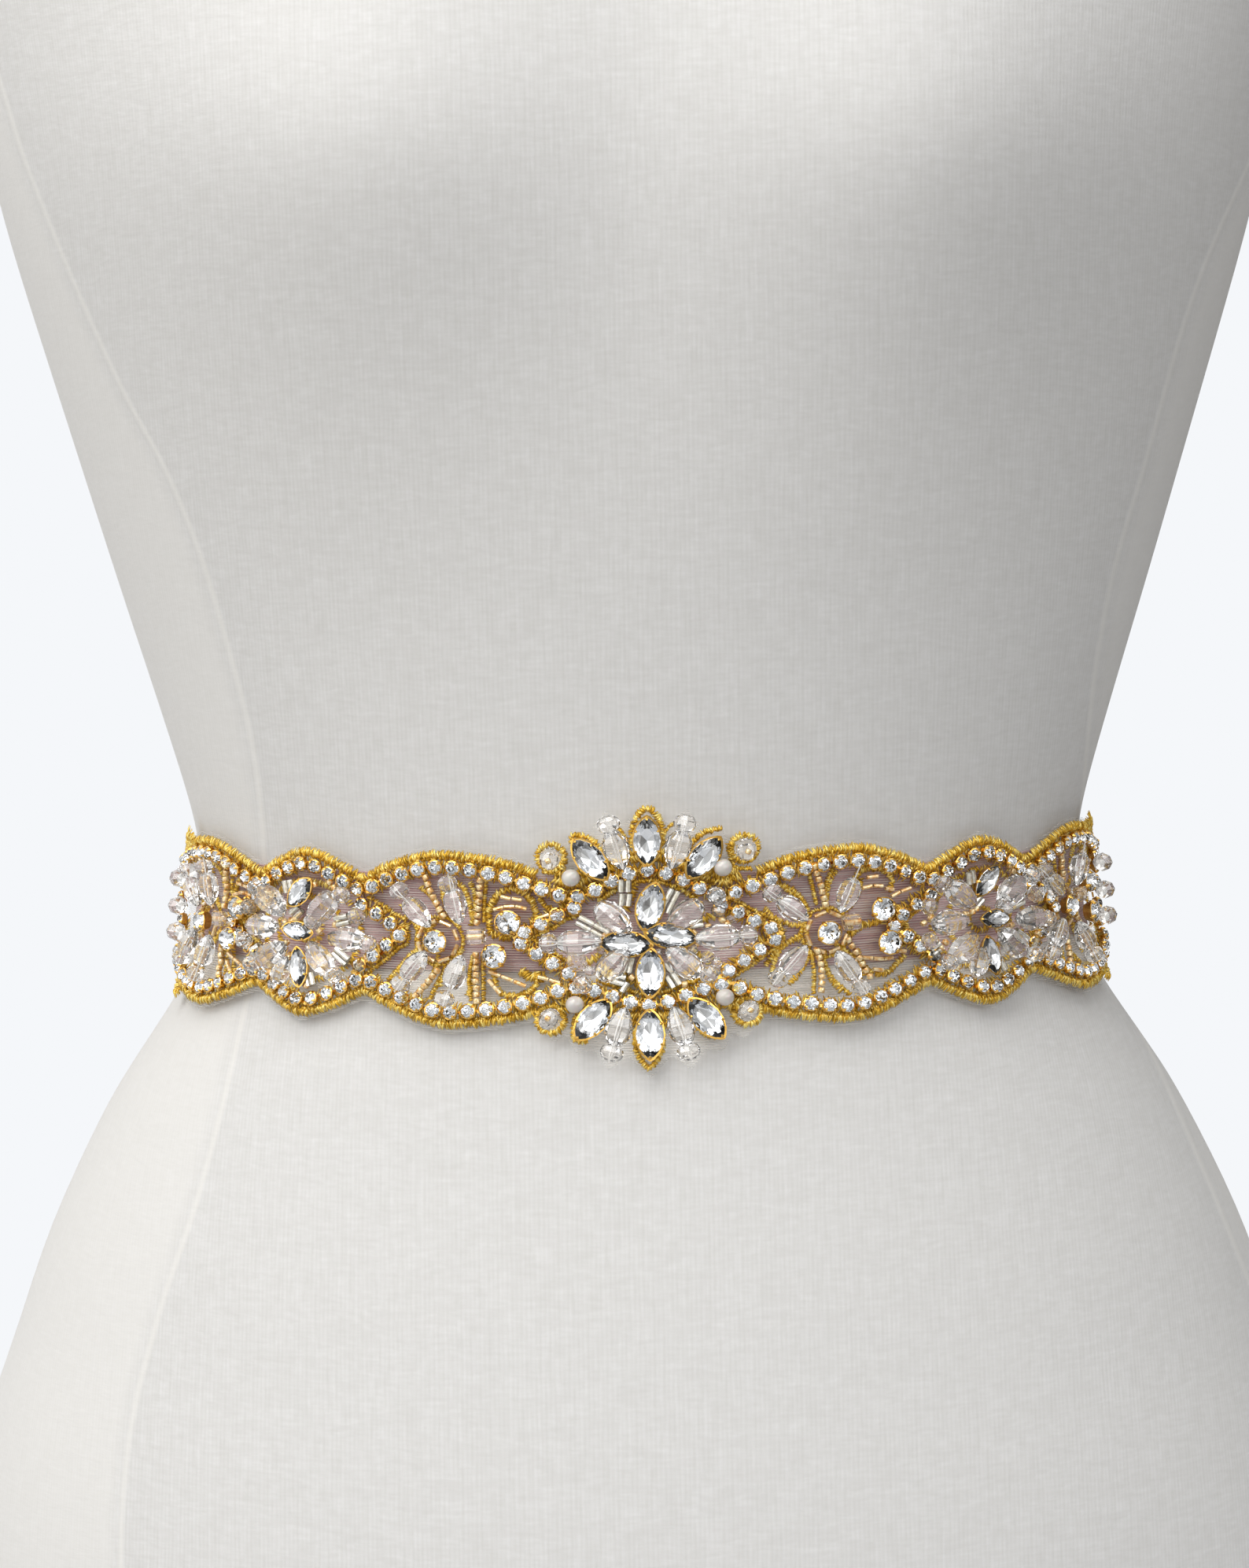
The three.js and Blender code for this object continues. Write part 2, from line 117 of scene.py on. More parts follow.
# ---------- camera ----------
view = {
    "distance": 1.0,        # from the front of the sash
    "above": 0.1157,        # over the sash's centre line
    "aside": -0.0031,
    "tiltDown": 4.63,       # degrees
    "roll": -0.9,
    "lens": 103.8,
}
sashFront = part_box("ribbon")[0].y
camera = bpy.data.objects.new("camera", bpy.data.cameras.new("camera"))
camera.data.lens = view["lens"]
camera.location = (view["aside"], sashFront - view["distance"], waistHeight + view["above"])
camera.rotation_mode = "QUATERNION"
tilt = Matrix.Rotation(math.radians(90 - view["tiltDown"]), 3, "X")
camera.rotation_quaternion = (tilt @ Matrix.Rotation(math.radians(view["roll"]), 3, "Z")).to_quaternion()
scene.collection.objects.link(camera)
scene.camera = camera
print("camera placed")


# ---------- materials ----------
seams = {       # the cover's side seams: height over the sash's centre line and distance from the middle, mm
    -1: [(-160, 121), (-118, 119), (-92, 113), (-58, 101.5), (-20, 92), (0, 88), (31, 87), (69, 94), (98, 103),
         (128, 118), (173, 137), (207, 150), (236, 182)],
    1: [(-160, 158), (-107, 149), (-85, 141), (-47, 126), (-20, 115), (0, 108), (31, 106), (69, 109), (106, 119),
        (143, 130), (180, 148), (207, 160), (236, 186)],
}
seamFrom, seamTo, seamReach = -200, 260, 200      # the ranges the seam curves are drawn over, mm
sideLine = 12       # behind the middle of the side, mm: the seams run no further back than this


def seamMasks(tree):
    # A fine ridge on each side seam, and the side panels, which sit at a slightly different tone.
    place = addNode(tree, "ShaderNodeTexCoord").outputs["Object"]
    split = addNode(tree, "ShaderNodeSeparateXYZ", links={"Vector": place})
    level = addNode(tree, "ShaderNodeMapRange", {"From Min": waistHeight + seamFrom * mm, "From Max": waistHeight + seamTo * mm},
                    {"Value": split.outputs["Z"]})
    behind = addNode(tree, "ShaderNodeMath", {"operation": "SUBTRACT", 1: sideLine * mm}, {0: split.outputs["Y"]})
    lines, panels = [], []
    for side, points in seams.items():
        curve = addNode(tree, "ShaderNodeFloatCurve", links={"Value": level.outputs["Result"]})
        track = curve.mapping.curves[0]
        places = [((height - seamFrom) / (seamTo - seamFrom), reach / seamReach) for height, reach in points]
        track.points[0].location, track.points[1].location = (0, places[0][1]), (1, places[-1][1])
        for spot in places:
            track.points.new(*spot)
        curve.mapping.update()
        reach = addNode(tree, "ShaderNodeMath", {"operation": "MULTIPLY", 1: -seamReach * mm}, {0: curve.outputs["Value"]})
        aside = addNode(tree, "ShaderNodeMath", {"operation": "MULTIPLY_ADD", 1: side},
                        {0: split.outputs["X"], 2: reach.outputs["Value"]})
        beyond = addNode(tree, "ShaderNodeMath", {"operation": "MAXIMUM"},
                         {0: aside.outputs["Value"], 1: behind.outputs["Value"]})
        off = addNode(tree, "ShaderNodeMath", {"operation": "ABSOLUTE"}, {0: beyond.outputs["Value"]})
        line = addNode(tree, "ShaderNodeMapRange", {"From Min": 0.2 * mm, "From Max": 1.1 * mm, "To Min": 0.5, "To Max": 0.0},
                       {"Value": off.outputs["Value"]})
        panel = addNode(tree, "ShaderNodeMapRange", {"From Min": -1 * mm, "From Max": 4 * mm, "To Max": 0.55},
                        {"Value": beyond.outputs["Value"]})
        lines.append(line.outputs["Result"])
        panels.append(panel.outputs["Result"])
    both = [addNode(tree, "ShaderNodeMath", {"operation": "MAXIMUM"}, {0: pair[0], 1: pair[1]}).outputs["Value"]
            for pair in (lines, panels)]
    return both


def cottonJersey():
    # Knitted cotton: matt, with fine upright wales, a slight slub and a little heather.
    material, tree, shader = startMaterial("knitted cotton jersey", {
        "Roughness": 0.92, "Sheen Weight": 0.12, "Sheen Roughness": 0.5, "Specular IOR Level": 0.2,
    })
    place = addNode(tree, "ShaderNodeUVMap", {"uv_map": "cloth"}).outputs["UV"]
    walePitch = 1.05 * mm       # real wales are nearer 0.8 mm
    sway = addNode(tree, "ShaderNodeTexNoise", {"Scale": 60.0, "Detail": 2.0}, {"Vector": place})
    split = addNode(tree, "ShaderNodeSeparateXYZ", links={"Vector": place})
    shift = addNode(tree, "ShaderNodeMath", {"operation": "MULTIPLY_ADD", 1: 3.0, 2: 0.0},
                    {0: sway.outputs["Fac"]})
    turns = addNode(tree, "ShaderNodeMath", {"operation": "MULTIPLY_ADD", 1: 2 * math.pi / walePitch},
                    {0: split.outputs["X"], 2: shift.outputs["Value"]})
    wale = addNode(tree, "ShaderNodeMath", {"operation": "SINE"}, {0: turns.outputs["Value"]})
    slubPlace = addNode(tree, "ShaderNodeMapping", {"Scale": (1.0, 0.12, 1.0)}, {"Vector": place})
    slub = addNode(tree, "ShaderNodeTexNoise", {"Scale": 900.0, "Detail": 3.0, "Roughness": 0.6},
                   {"Vector": slubPlace.outputs["Vector"]})
    coursePlace = addNode(tree, "ShaderNodeMapping", {"Scale": (0.25, 1.0, 1.0)}, {"Vector": place})
    course = addNode(tree, "ShaderNodeTexNoise", {"Scale": 1100.0, "Detail": 2.0},
                     {"Vector": coursePlace.outputs["Vector"]})
    levelPlace = addNode(tree, "ShaderNodeMapping", {"Scale": (0.3, 1.0, 1.0)}, {"Vector": place})
    heather = addNode(tree, "ShaderNodeTexNoise", {"Scale": 420.0, "Detail": 3.0, "Roughness": 0.6, "Distortion": 0.6},
                      {"Vector": levelPlace.outputs["Vector"]})
    height = addNode(tree, "ShaderNodeMath", {"operation": "MULTIPLY_ADD", 1: 0.11},
                     {0: wale.outputs["Value"], 2: slub.outputs["Fac"]})
    height = addNode(tree, "ShaderNodeMath", {"operation": "MULTIPLY_ADD", 1: 0.7},
                     {0: course.outputs["Fac"], 2: height.outputs["Value"]})
    tone = addNode(tree, "ShaderNodeMapRange", {"From Min": 0.5, "From Max": 1.2},
                   {"Value": height.outputs["Value"]})
    knit = mixColours(tree, tone.outputs["Result"], toLinear("#e3e2df"), toLinear("#f0efee"))
    cloudy = addNode(tree, "ShaderNodeMapRange", {"From Min": 0.35, "From Max": 0.65, "To Max": 0.32},
                     {"Value": heather.outputs["Fac"]})
    colour = mixColours(tree, cloudy.outputs["Result"], knit, toLinear("#dddbd8"))
    height = addNode(tree, "ShaderNodeMath", {"operation": "MULTIPLY_ADD", 1: 1.0},
                     {0: heather.outputs["Fac"], 2: height.outputs["Value"]})
    line, panel = seamMasks(tree)
    colour = mixColours(tree, panel, colour, toLinear("#f7f5f1"))
    colour = mixColours(tree, line, colour, toLinear("#fbf9f4"))
    tree.links.new(colour, shader.inputs["Base Color"])
    height = addNode(tree, "ShaderNodeMath", {"operation": "MULTIPLY_ADD", 1: 5.0}, {0: line, 2: height.outputs["Value"]})
    bump = addNode(tree, "ShaderNodeBump", {"Strength": 0.4, "Distance": 0.14 * mm},
                   {"Height": height.outputs["Value"]})
    tree.links.new(bump.outputs["Normal"], shader.inputs["Normal"])
    return material


def ribbedOrganza():
    # Woven organza ribbon: weft ribs along its length, with a soft satin light on them.
    material, tree, shader = startMaterial("woven organza ribbon", {
        "Roughness": 0.48, "Sheen Weight": 0.25, "Sheen Roughness": 0.35, "Anisotropic": 0.3,
    })
    place = addNode(tree, "ShaderNodeUVMap", {"uv_map": "cloth"}).outputs["UV"]
    split = addNode(tree, "ShaderNodeSeparateXYZ", links={"Vector": place})
    ribPitch = 0.62 * mm
    turns = addNode(tree, "ShaderNodeMath", {"operation": "MULTIPLY", 1: 2 * math.pi / ribPitch},
                    {0: split.outputs["Y"]})
    rib = addNode(tree, "ShaderNodeMath", {"operation": "SINE"}, {0: turns.outputs["Value"]})
    streakPlace = addNode(tree, "ShaderNodeMapping", {"Scale": (0.03, 1.0, 1.0)}, {"Vector": place})
    streak = addNode(tree, "ShaderNodeTexNoise", {"Scale": 1500.0, "Detail": 2.0},
                     {"Vector": streakPlace.outputs["Vector"]})
    height = addNode(tree, "ShaderNodeMath", {"operation": "MULTIPLY_ADD", 1: 0.3},
                     {0: rib.outputs["Value"], 2: streak.outputs["Fac"]})
    tone = addNode(tree, "ShaderNodeMapRange", {"From Min": 0.15, "From Max": 0.85},
                   {"Value": height.outputs["Value"]})
    colour = mixColours(tree, tone.outputs["Result"], toLinear("#99686f"), toLinear("#d3abad"))
    tree.links.new(colour, shader.inputs["Base Color"])
    bump = addNode(tree, "ShaderNodeBump", {"Strength": 0.5, "Distance": 0.12 * mm},
                   {"Height": height.outputs["Value"]})
    tree.links.new(bump.outputs["Normal"], shader.inputs["Normal"])
    return material


def sheerNet():
    # Crinkle net: hardly there, with fine level threads that catch the light.
    material, tree, shader = startMaterial("knitted sheer net", {
        "Base Color": toLinear("#f3f0ea"), "Roughness": 0.5, "Sheen Weight": 0.3,
    })
    place = addNode(tree, "ShaderNodeUVMap", {"uv_map": "cloth"}).outputs["UV"]
    wobble = addNode(tree, "ShaderNodeTexNoise", {"Scale": 90.0, "Detail": 1.0}, {"Vector": place})
    split = addNode(tree, "ShaderNodeSeparateXYZ", links={"Vector": place})
    threadPitch = 0.55 * mm
    shift = addNode(tree, "ShaderNodeMath", {"operation": "MULTIPLY", 1: 5.0}, {0: wobble.outputs["Fac"]})
    turns = addNode(tree, "ShaderNodeMath", {"operation": "MULTIPLY_ADD", 1: 2 * math.pi / threadPitch},
                    {0: split.outputs["Y"], 2: shift.outputs["Value"]})
    thread = addNode(tree, "ShaderNodeMath", {"operation": "SINE"}, {0: turns.outputs["Value"]})
    broken = addNode(tree, "ShaderNodeMapping", {"Scale": (0.1, 1.0, 1.0)}, {"Vector": place})
    patchy = addNode(tree, "ShaderNodeTexNoise", {"Scale": 700.0, "Detail": 2.0},
                     {"Vector": broken.outputs["Vector"]})
    cover = addNode(tree, "ShaderNodeMath", {"operation": "MULTIPLY_ADD", 1: 0.2},
                    {0: thread.outputs["Value"], 2: patchy.outputs["Fac"]})
    alpha = addNode(tree, "ShaderNodeMapRange",
                    {"From Min": 0.35, "From Max": 0.8, "To Min": 0.03, "To Max": 0.36},
                    {"Value": cover.outputs["Value"]})
    tree.links.new(alpha.outputs["Result"], shader.inputs["Alpha"])
    return material


def goldThread():
    # Metallic embroidery thread: gold foil wound on a core, glinting stitch by stitch. The glints are painted: fine
    # noise and a random shade for each stitch move its colour from a painted shadow brown to a painted highlight
    # yellow.
    material, tree, shader = startMaterial("metallic embroidery thread", {
        "Metallic": 0.4, "Roughness": 0.34,
    })
    shade = addNode(tree, "ShaderNodeAttribute", {"attribute_name": "shade"})
    place = addNode(tree, "ShaderNodeTexCoord").outputs["Object"]
    glint = addNode(tree, "ShaderNodeTexNoise", {"Scale": 1600.0, "Detail": 2.0, "Roughness": 0.7},
                    {"Vector": place})
    paintedGlintAndShade = addNode(tree, "ShaderNodeMath", {"operation": "MULTIPLY_ADD", 1: 0.55, 2: 0.0},
                      {0: glint.outputs["Fac"], 2: shade.outputs["Fac"]})
    # painted light: the glint noise plus each stitch's random shade picks the colour between painted shadow and painted
    # highlight
    ramp = addNode(tree, "ShaderNodeValToRGB", links={"Fac": paintedGlintAndShade.outputs["Value"]})
    stops = ramp.color_ramp.elements
    # the dark stop is a painted shadow tone, the light stop a painted highlight tone
    stops[0].position, stops[0].color = 0.25, toLinear("#ab8422")
    stops[1].position, stops[1].color = 1.0, toLinear("#ffea8c")
    middle = stops.new(0.6)
    middle.color = toLinear("#e8b932")
    tree.links.new(ramp.outputs["Color"], shader.inputs["Base Color"])
    bump = addNode(tree, "ShaderNodeBump", {"Strength": 0.4, "Distance": 0.08 * mm},
                   {"Height": glint.outputs["Fac"]})
    tree.links.new(bump.outputs["Normal"], shader.inputs["Normal"])
    return material


def goldPlate():
    # Stamped brass, bright gold plated: hard little highlights, warm brown in the hollows.
    material, tree, shader = startMaterial("gold plated brass", {"Metallic": 1.0, "Roughness": 0.2})
    place = addNode(tree, "ShaderNodeTexCoord").outputs["Object"]
    wear = addNode(tree, "ShaderNodeTexNoise", {"Scale": 900.0, "Detail": 3.0}, {"Vector": place})
    colour = mixColours(tree, wear.outputs["Fac"], toLinear("#c98f2c"), toLinear("#f7d27a"))
    tree.links.new(colour, shader.inputs["Base Color"])
    rough = addNode(tree, "ShaderNodeMapRange", {"To Min": 0.12, "To Max": 0.32},
                    {"Value": wear.outputs["Fac"]})
    tree.links.new(rough.outputs["Result"], shader.inputs["Roughness"])
    return material


def clearCrystal():
    # Cut lead-free crystal, polished: light bends in it and leaves by the facets.
    material, tree, shader = startMaterial("cut crystal glass", {
        "Roughness": 0.0, "IOR": 1.55, "Transmission Weight": 1.0,
    })
    place = addNode(tree, "ShaderNodeTexCoord").outputs["Object"]
    cloud = addNode(tree, "ShaderNodeTexNoise", {"Scale": 250.0, "Detail": 1.0}, {"Vector": place})
    colour = mixColours(tree, cloud.outputs["Fac"], toLinear("#f7f8f8"), toLinear("#ffffff"))
    tree.links.new(colour, shader.inputs["Base Color"])
    return material


def beadGlass():
    # Pressed and fire-polished glass bead: brighter skin than cut crystal and a trace of milk.
    material, tree, shader = startMaterial("fire polished glass bead", {
        "Roughness": 0.0, "IOR": 1.68, "Transmission Weight": 0.96, "Coat Weight": 0.6, "Coat Roughness": 0.0,
    })
    place = addNode(tree, "ShaderNodeTexCoord").outputs["Object"]
    cloud = addNode(tree, "ShaderNodeTexNoise", {"Scale": 250.0, "Detail": 1.0}, {"Vector": place})
    colour = mixColours(tree, cloud.outputs["Fac"], toLinear("#f4f1ee"), toLinear("#ffffff"))
    tree.links.new(colour, shader.inputs["Base Color"])
    return material


def stoneFoil():
    # Vacuum-silvered back of a rhinestone: a mirror under the glass.
    material, tree, shader = startMaterial("silvered stone back", {"Metallic": 1.0, "Roughness": 0.04})
    place = addNode(tree, "ShaderNodeTexCoord").outputs["Object"]
    cloud = addNode(tree, "ShaderNodeTexNoise", {"Scale": 400.0, "Detail": 1.0}, {"Vector": place})
    colour = mixColours(tree, cloud.outputs["Fac"], toLinear("#dfe3e8"), toLinear("#fbfbfc"))
    tree.links.new(colour, shader.inputs["Base Color"])
    return material


def linedGlass(name, paintedShadowTone, light, roughness):
    # Glass bead with a metal lining: the lining's colour under a clear polished skin, painted in fine random patches
    # between a painted shadow tone and a painted highlight tone.
    material, tree, shader = startMaterial(name, {
        "Metallic": 0.45, "Roughness": roughness, "Coat Weight": 1.0, "Coat Roughness": 0.03,
    })
    place = addNode(tree, "ShaderNodeTexCoord").outputs["Object"]
    patch = addNode(tree, "ShaderNodeTexNoise", {"Scale": 1200.0, "Detail": 2.0}, {"Vector": place})
    paintedGlintMask = addNode(tree, "ShaderNodeMapRange", {"From Min": 0.35, "From Max": 0.65},
                     {"Value": patch.outputs["Fac"]})
    # painted light: random patches of painted shadow and painted highlight on the lining
    colour = mixColours(tree, paintedGlintMask.outputs["Result"], toLinear(paintedShadowTone), toLinear(light))
    tree.links.new(colour, shader.inputs["Base Color"])
    return material


def pearlLacquer():
    # Imitation pearl: nacre lacquer over a moulded bead, soft depth under a gloss coat.
    material, tree, shader = startMaterial("pearl lacquer", {
        "Roughness": 0.28, "Coat Weight": 1.0, "Coat Roughness": 0.08, "Sheen Weight": 0.2,
        "Subsurface Weight": 0.3, "Subsurface Scale": 0.5 * mm,
    })
    place = addNode(tree, "ShaderNodeTexCoord").outputs["Object"]
    cloud = addNode(tree, "ShaderNodeTexNoise", {"Scale": 500.0, "Detail": 2.0}, {"Vector": place})
    colour = mixColours(tree, cloud.outputs["Fac"], toLinear("#cfc9c2"), toLinear("#e6e1db"))
    tree.links.new(colour, shader.inputs["Base Color"])
    return material


def nylonThread():
    # Beading monofilament: clear nylon that reads as a fine white line.
    material, tree, shader = startMaterial("nylon monofilament", {
        "Roughness": 0.25, "Transmission Weight": 0.4, "IOR": 1.5,
    })
    place = addNode(tree, "ShaderNodeTexCoord").outputs["Object"]
    cloud = addNode(tree, "ShaderNodeTexNoise", {"Scale": 800.0}, {"Vector": place})
    colour = mixColours(tree, cloud.outputs["Fac"], toLinear("#efece6"), toLinear("#ffffff"))
    tree.links.new(colour, shader.inputs["Base Color"])
    return material


jersey = cottonJersey()
organza = ribbedOrganza()
net = sheerNet()
thread = goldThread()
plate = goldPlate()
crystal = clearCrystal()
bead = beadGlass()
foil = stoneFoil()
# Gold lining: an orange painted shadow tone and a cream painted highlight tone.
goldLined = linedGlass("gold lined glass bead", "#dc9c40", "#fff0c0", 0.25)
# Silver lining: a champagne painted shadow tone and a near-white painted highlight tone.
silverLined = linedGlass("silver lined glass bead", "#dcd3bd", "#fffdf4", 0.18)
pearl = pearlLacquer()
nylon = nylonThread()
print("materials made")


# ---------- dress form ----------
def makeForm():
    bm = mergedCopy("dress_form")
    bmesh.ops.join_triangles(bm, faces=bm.faces, angle_face_threshold=math.radians(60),
                             angle_shape_threshold=math.radians(80))
    bmesh.ops.bisect_plane(bm, geom=[*bm.verts, *bm.edges, *bm.faces], plane_co=(0, 0, 0), plane_no=(1, 0, 0),
                           dist=0.01 * mm)
    low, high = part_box("dress_form")
    crease = bm.edges.layers.float.new("crease_edge")
    for edge in bm.edges:
        heights = {round(v.co.z, 4) for v in edge.verts}
        if len(heights) == 1 and heights <= {round(low.z, 4), round(high.z, 4)}:
            edge[crease] = 0.7
    rings = {}
    for vert in bm.verts:
        rings.setdefault(round(vert.co.z, 4), []).append(vert)
    arc, girths = {}, []
    for height, ring in sorted(rings.items()):
        side = [v for v in ring if Vector((v.co.x, v.co.y)).length > 5 * mm]
        for sign in (1, -1):
            half = [v for v in side if v.co.x * sign > -0.01 * mm]
            half.sort(key=lambda v: math.atan2(abs(v.co.x), -v.co.y))
            if len(half) < 5:
                continue
            length = 0.0
            for before, vert in zip([half[0], *half], half):
                length += (vert.co - before.co).length
                arc[vert, sign] = sign * length
            girths.append((height, length))
    backSeam = [v for v in bm.verts if abs(v.co.x) < 0.01 * mm and v.co.y > 5 * mm]
    for vert in backSeam:
        length = np.interp(vert.co.z, *zip(*girths))
        arc[vert, 1], arc[vert, -1] = length, -length
    uvLayer = bm.loops.layers.uv.new("cloth")
    for face in bm.faces:
        sign = 1 if face.calc_center_median().x > 0 else -1
        for loop in face.loops:
            place = arc.get((loop.vert, sign), loop.vert.co.x)
            loop[uvLayer].uv = (place, loop.vert.co.z)
    form = addPiece("dressForm", bm, [jersey], smooth=True)
    smoother = form.modifiers.new("smoother", "SUBSURF")
    smoother.levels = smoother.render_levels = 2
    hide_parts("dress_form")
    return form


form = makeForm()
formTree = BVHTree.FromObject(form, bpy.context.evaluated_depsgraph_get())

# Radius of the form on a grid of angle and height round the waist, for bending the trim onto it.
reach = 42 * mm
angles = np.radians(np.arange(-184, 185, 1.0))
heights = np.linspace(-reach, reach, 43)
radius = np.zeros((len(angles), len(heights)))
for i, angle in enumerate(angles):
    outward = Vector((math.sin(angle), -math.cos(angle), 0))
    for j, height in enumerate(heights):
        centre = Vector((0, 0, waistHeight + height))
        radius[i, j] = formTree.ray_cast(centre, outward)[3]
middleRow = len(heights) // 2
steps = np.hypot(np.diff(radius[:, middleRow] * np.sin(angles)), np.diff(radius[:, middleRow] * np.cos(angles)))
roundWaist = np.concatenate([[0], np.cumsum(steps)])
roundWaist -= np.interp(0, angles, roundWaist)
halfWaist = float(np.interp(math.pi, angles, roundWaist))


def onForm(x, y):
    angle = np.interp(x, roundWaist, angles)
    i = np.clip((angle - angles[0]) / (angles[1] - angles[0]), 0, len(angles) - 1.001)
    j = np.clip((y + reach) / (heights[1] - heights[0]), 0, len(heights) - 1.001)
    i0, j0 = i.astype(int), j.astype(int)
    fi, fj = i - i0, j - j0
    r = (radius[i0, j0] * (1 - fi) * (1 - fj) + radius[i0 + 1, j0] * fi * (1 - fj)
         + radius[i0, j0 + 1] * (1 - fi) * fj + radius[i0 + 1, j0 + 1] * fi * fj)
    return np.stack([r * np.sin(angle), -r * np.cos(angle), waistHeight + y], axis=-1)


def wrapPoints(points):
    x, y, lift = points[:, 0], points[:, 1], points[:, 2]
    step = 1.5 * mm
    across = onForm(x + step, y) - onForm(x - step, y)
    up = onForm(x, y + step) - onForm(x, y - step)
    out = np.cross(across, up)
    out /= np.linalg.norm(out, axis=1, keepdims=True)
    return onForm(x, y) + out * lift[:, None]


def wrapFlat(bm):
    verts = list(bm.verts)
    placed = wrapPoints(np.array([v.co[:] for v in verts]))
    for vert, place in zip(verts, placed):
        vert.co = place


def flatUv(bm):
    uvLayer = bm.loops.layers.uv.new("cloth")
    for face in bm.faces:
        for loop in face.loops:
            loop[uvLayer].uv = loop.vert.co.xy


def flatSpot(node, tipToMiddle=None):
    # Where a CAD stone lies when the sash is laid flat, in mm, and the turn of its long axis.
    bm = mergedCopy(node)
    points = np.array([v.co[:] for v in bm.verts])
    bm.free()
    x = np.interp(np.arctan2(points[:, 0], -points[:, 1]), angles, roundWaist) / mm
    y = (points[:, 2] - waistHeight) / mm
    flat = np.stack([x, y], axis=1)
    middle = flat.mean(axis=0)
    axis = np.linalg.svd(flat - middle)[2][0]
    along = (flat - middle) @ axis
    if along.max() + along.min() > 0:      # the heavier, wide end leads
        axis, along = -axis, -along
    centre = middle + axis * (along.max() + along.min()) / 2
    if tipToMiddle is not None:
        centre = middle + axis * (along.min() + tipToMiddle)
    return {"x": centre[0], "y": centre[1], "turn": math.degrees(math.atan2(axis[1], axis[0]))}


medallionX = flatSpot("navette_fan_1")["x"]      # the medallion sits just off centre front
print("form and waist ready")


# ---------- helpers for flat work, in mm ----------
def placeAt(x, y, lift, turn=0.0, size=1.0, tip=0.0):
    sizes = size if isinstance(size, tuple) else (size, size, size)
    place = Matrix.Translation((x * mm, y * mm, lift * mm)) @ Matrix.Rotation(math.radians(turn), 4, "Z")
    place = place @ Matrix.Rotation(math.radians(tip), 4, "Y")
    return np.array(place @ Matrix.Diagonal((sizes[0] * mm, sizes[1] * mm, sizes[2] * mm, 1)))


def stampCopies(name, template, places, materials, smooth=False, shades=None):
    # Joins one copy of the template for each place into a single piece and bends it onto the form.
    stamp = bpy.data.meshes.new(name)
    template.to_mesh(stamp)
    template.free()
    bm = bmesh.new()
    if shades is not None:
        shade = bm.verts.layers.float.new("shade")
    for place in places:
        copy = stamp.copy()
        copy.transform(Matrix(place.tolist()))
        bm.from_mesh(copy)
        bpy.data.meshes.remove(copy)
    if shades is not None:
        for k, vert in enumerate(bm.verts):
            vert[shade] = shades[k // len(stamp.vertices)]
    bpy.data.meshes.remove(stamp)
    wrapFlat(bm)
    return addPiece(name, bm, materials, smooth)


def smoothPath(points, pitch, closed=False):
    # Evenly spaced stops (x, y, turn) on a smooth curve through the points.
    stops = np.array(points, dtype=float)
    if closed:
        stops = np.vstack([stops[-1], stops, stops[0], stops[1]])
    else:
        stops = np.vstack([2 * stops[0] - stops[1], stops, 2 * stops[-1] - stops[-2]])
    fine = []
    for a, b, c, d in zip(stops, stops[1:], stops[2:], stops[3:]):
        for t in np.linspace(0, 1, 12, endpoint=False):
            fine.append(0.5 * (2 * b + (c - a) * t + (2 * a - 5 * b + 4 * c - d) * t ** 2
                               + (3 * b - a - 3 * c + d) * t ** 3))
    fine.append(stops[-2])
    fine = np.array(fine)
    lengths = np.concatenate([[0], np.cumsum(np.linalg.norm(np.diff(fine, axis=0), axis=1))])
    count = max(round(lengths[-1] / pitch), 1)
    at = np.linspace(0, lengths[-1], count + 1)
    if closed:
        at = at[:-1]
    x, y = (np.interp(at, lengths, fine[:, k]) for k in (0, 1))
    ahead, behind = np.clip(at + 0.3, 0, lengths[-1]), np.clip(at - 0.3, 0, lengths[-1])
    dx, dy = (np.interp(ahead, lengths, fine[:, k]) - np.interp(behind, lengths, fine[:, k]) for k in (0, 1))
    return np.stack([x, y, np.degrees(np.arctan2(dy, dx))], axis=1)


def shifted(path, distance):
    turn = np.radians(path[:, 2])
    return np.stack([path[:, 0] - np.sin(turn) * distance, path[:, 1] + np.cos(turn) * distance], axis=1)


def fromMedallion(points):
    return [(medallionX + x, y) for x, y in points]


def ringPoints(x, y, radius, count=10):
    return [(x + radius * math.cos(a), y + radius * math.sin(a)) for a in np.linspace(0, 2 * math.pi, count + 1)[:-1]]


# ---------- ribbon ----------
ribbonCut = {"width": 22.0, "thickness": 0.25, "overlap": 40.0, "lift": 0.7, "ends": 1.3, "selvedge": 0.12}


def makeRibbon():
    bm = bmesh.new()
    bmesh.ops.create_grid(bm, x_segments=420, y_segments=16, size=0.5)
    whole = 2 * halfWaist / mm + ribbonCut["overlap"]
    for vert in bm.verts:
        along, across = vert.co.x + 0.5, vert.co.y
        x = (along - 0.5) * whole
        climb = np.interp(along * whole, [whole - 1.8 * ribbonCut["overlap"], whole - 1.05 * ribbonCut["overlap"]],
                          [0, ribbonCut["ends"]])
        selvedge = ribbonCut["selvedge"] * (abs(across) > 0.46)
        ripple = 0.1 * math.sin(x / 9.0) * math.sin(across * 5.0)
        vert.co = (x * mm, (across * ribbonCut["width"]) * mm + ribbonRise,
                   (ribbonCut["lift"] + climb + selvedge + ripple) * mm)
    flatUv(bm)
    turnBack = 2 * halfWaist
    for vert in bm.verts:
        if vert.co.x > halfWaist:
            vert.co.x -= turnBack
        elif vert.co.x < -halfWaist:
            vert.co.x += turnBack
    wrapFlat(bm)
    ribbon = addPiece("waistRibbon", bm, [organza], smooth=True)
    wall = ribbon.modifiers.new("wall", "SOLIDIFY")
    wall.thickness, wall.offset = ribbonCut["thickness"] * mm, 0
    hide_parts("ribbon")
    return ribbon


makeRibbon()
print("ribbon wound")

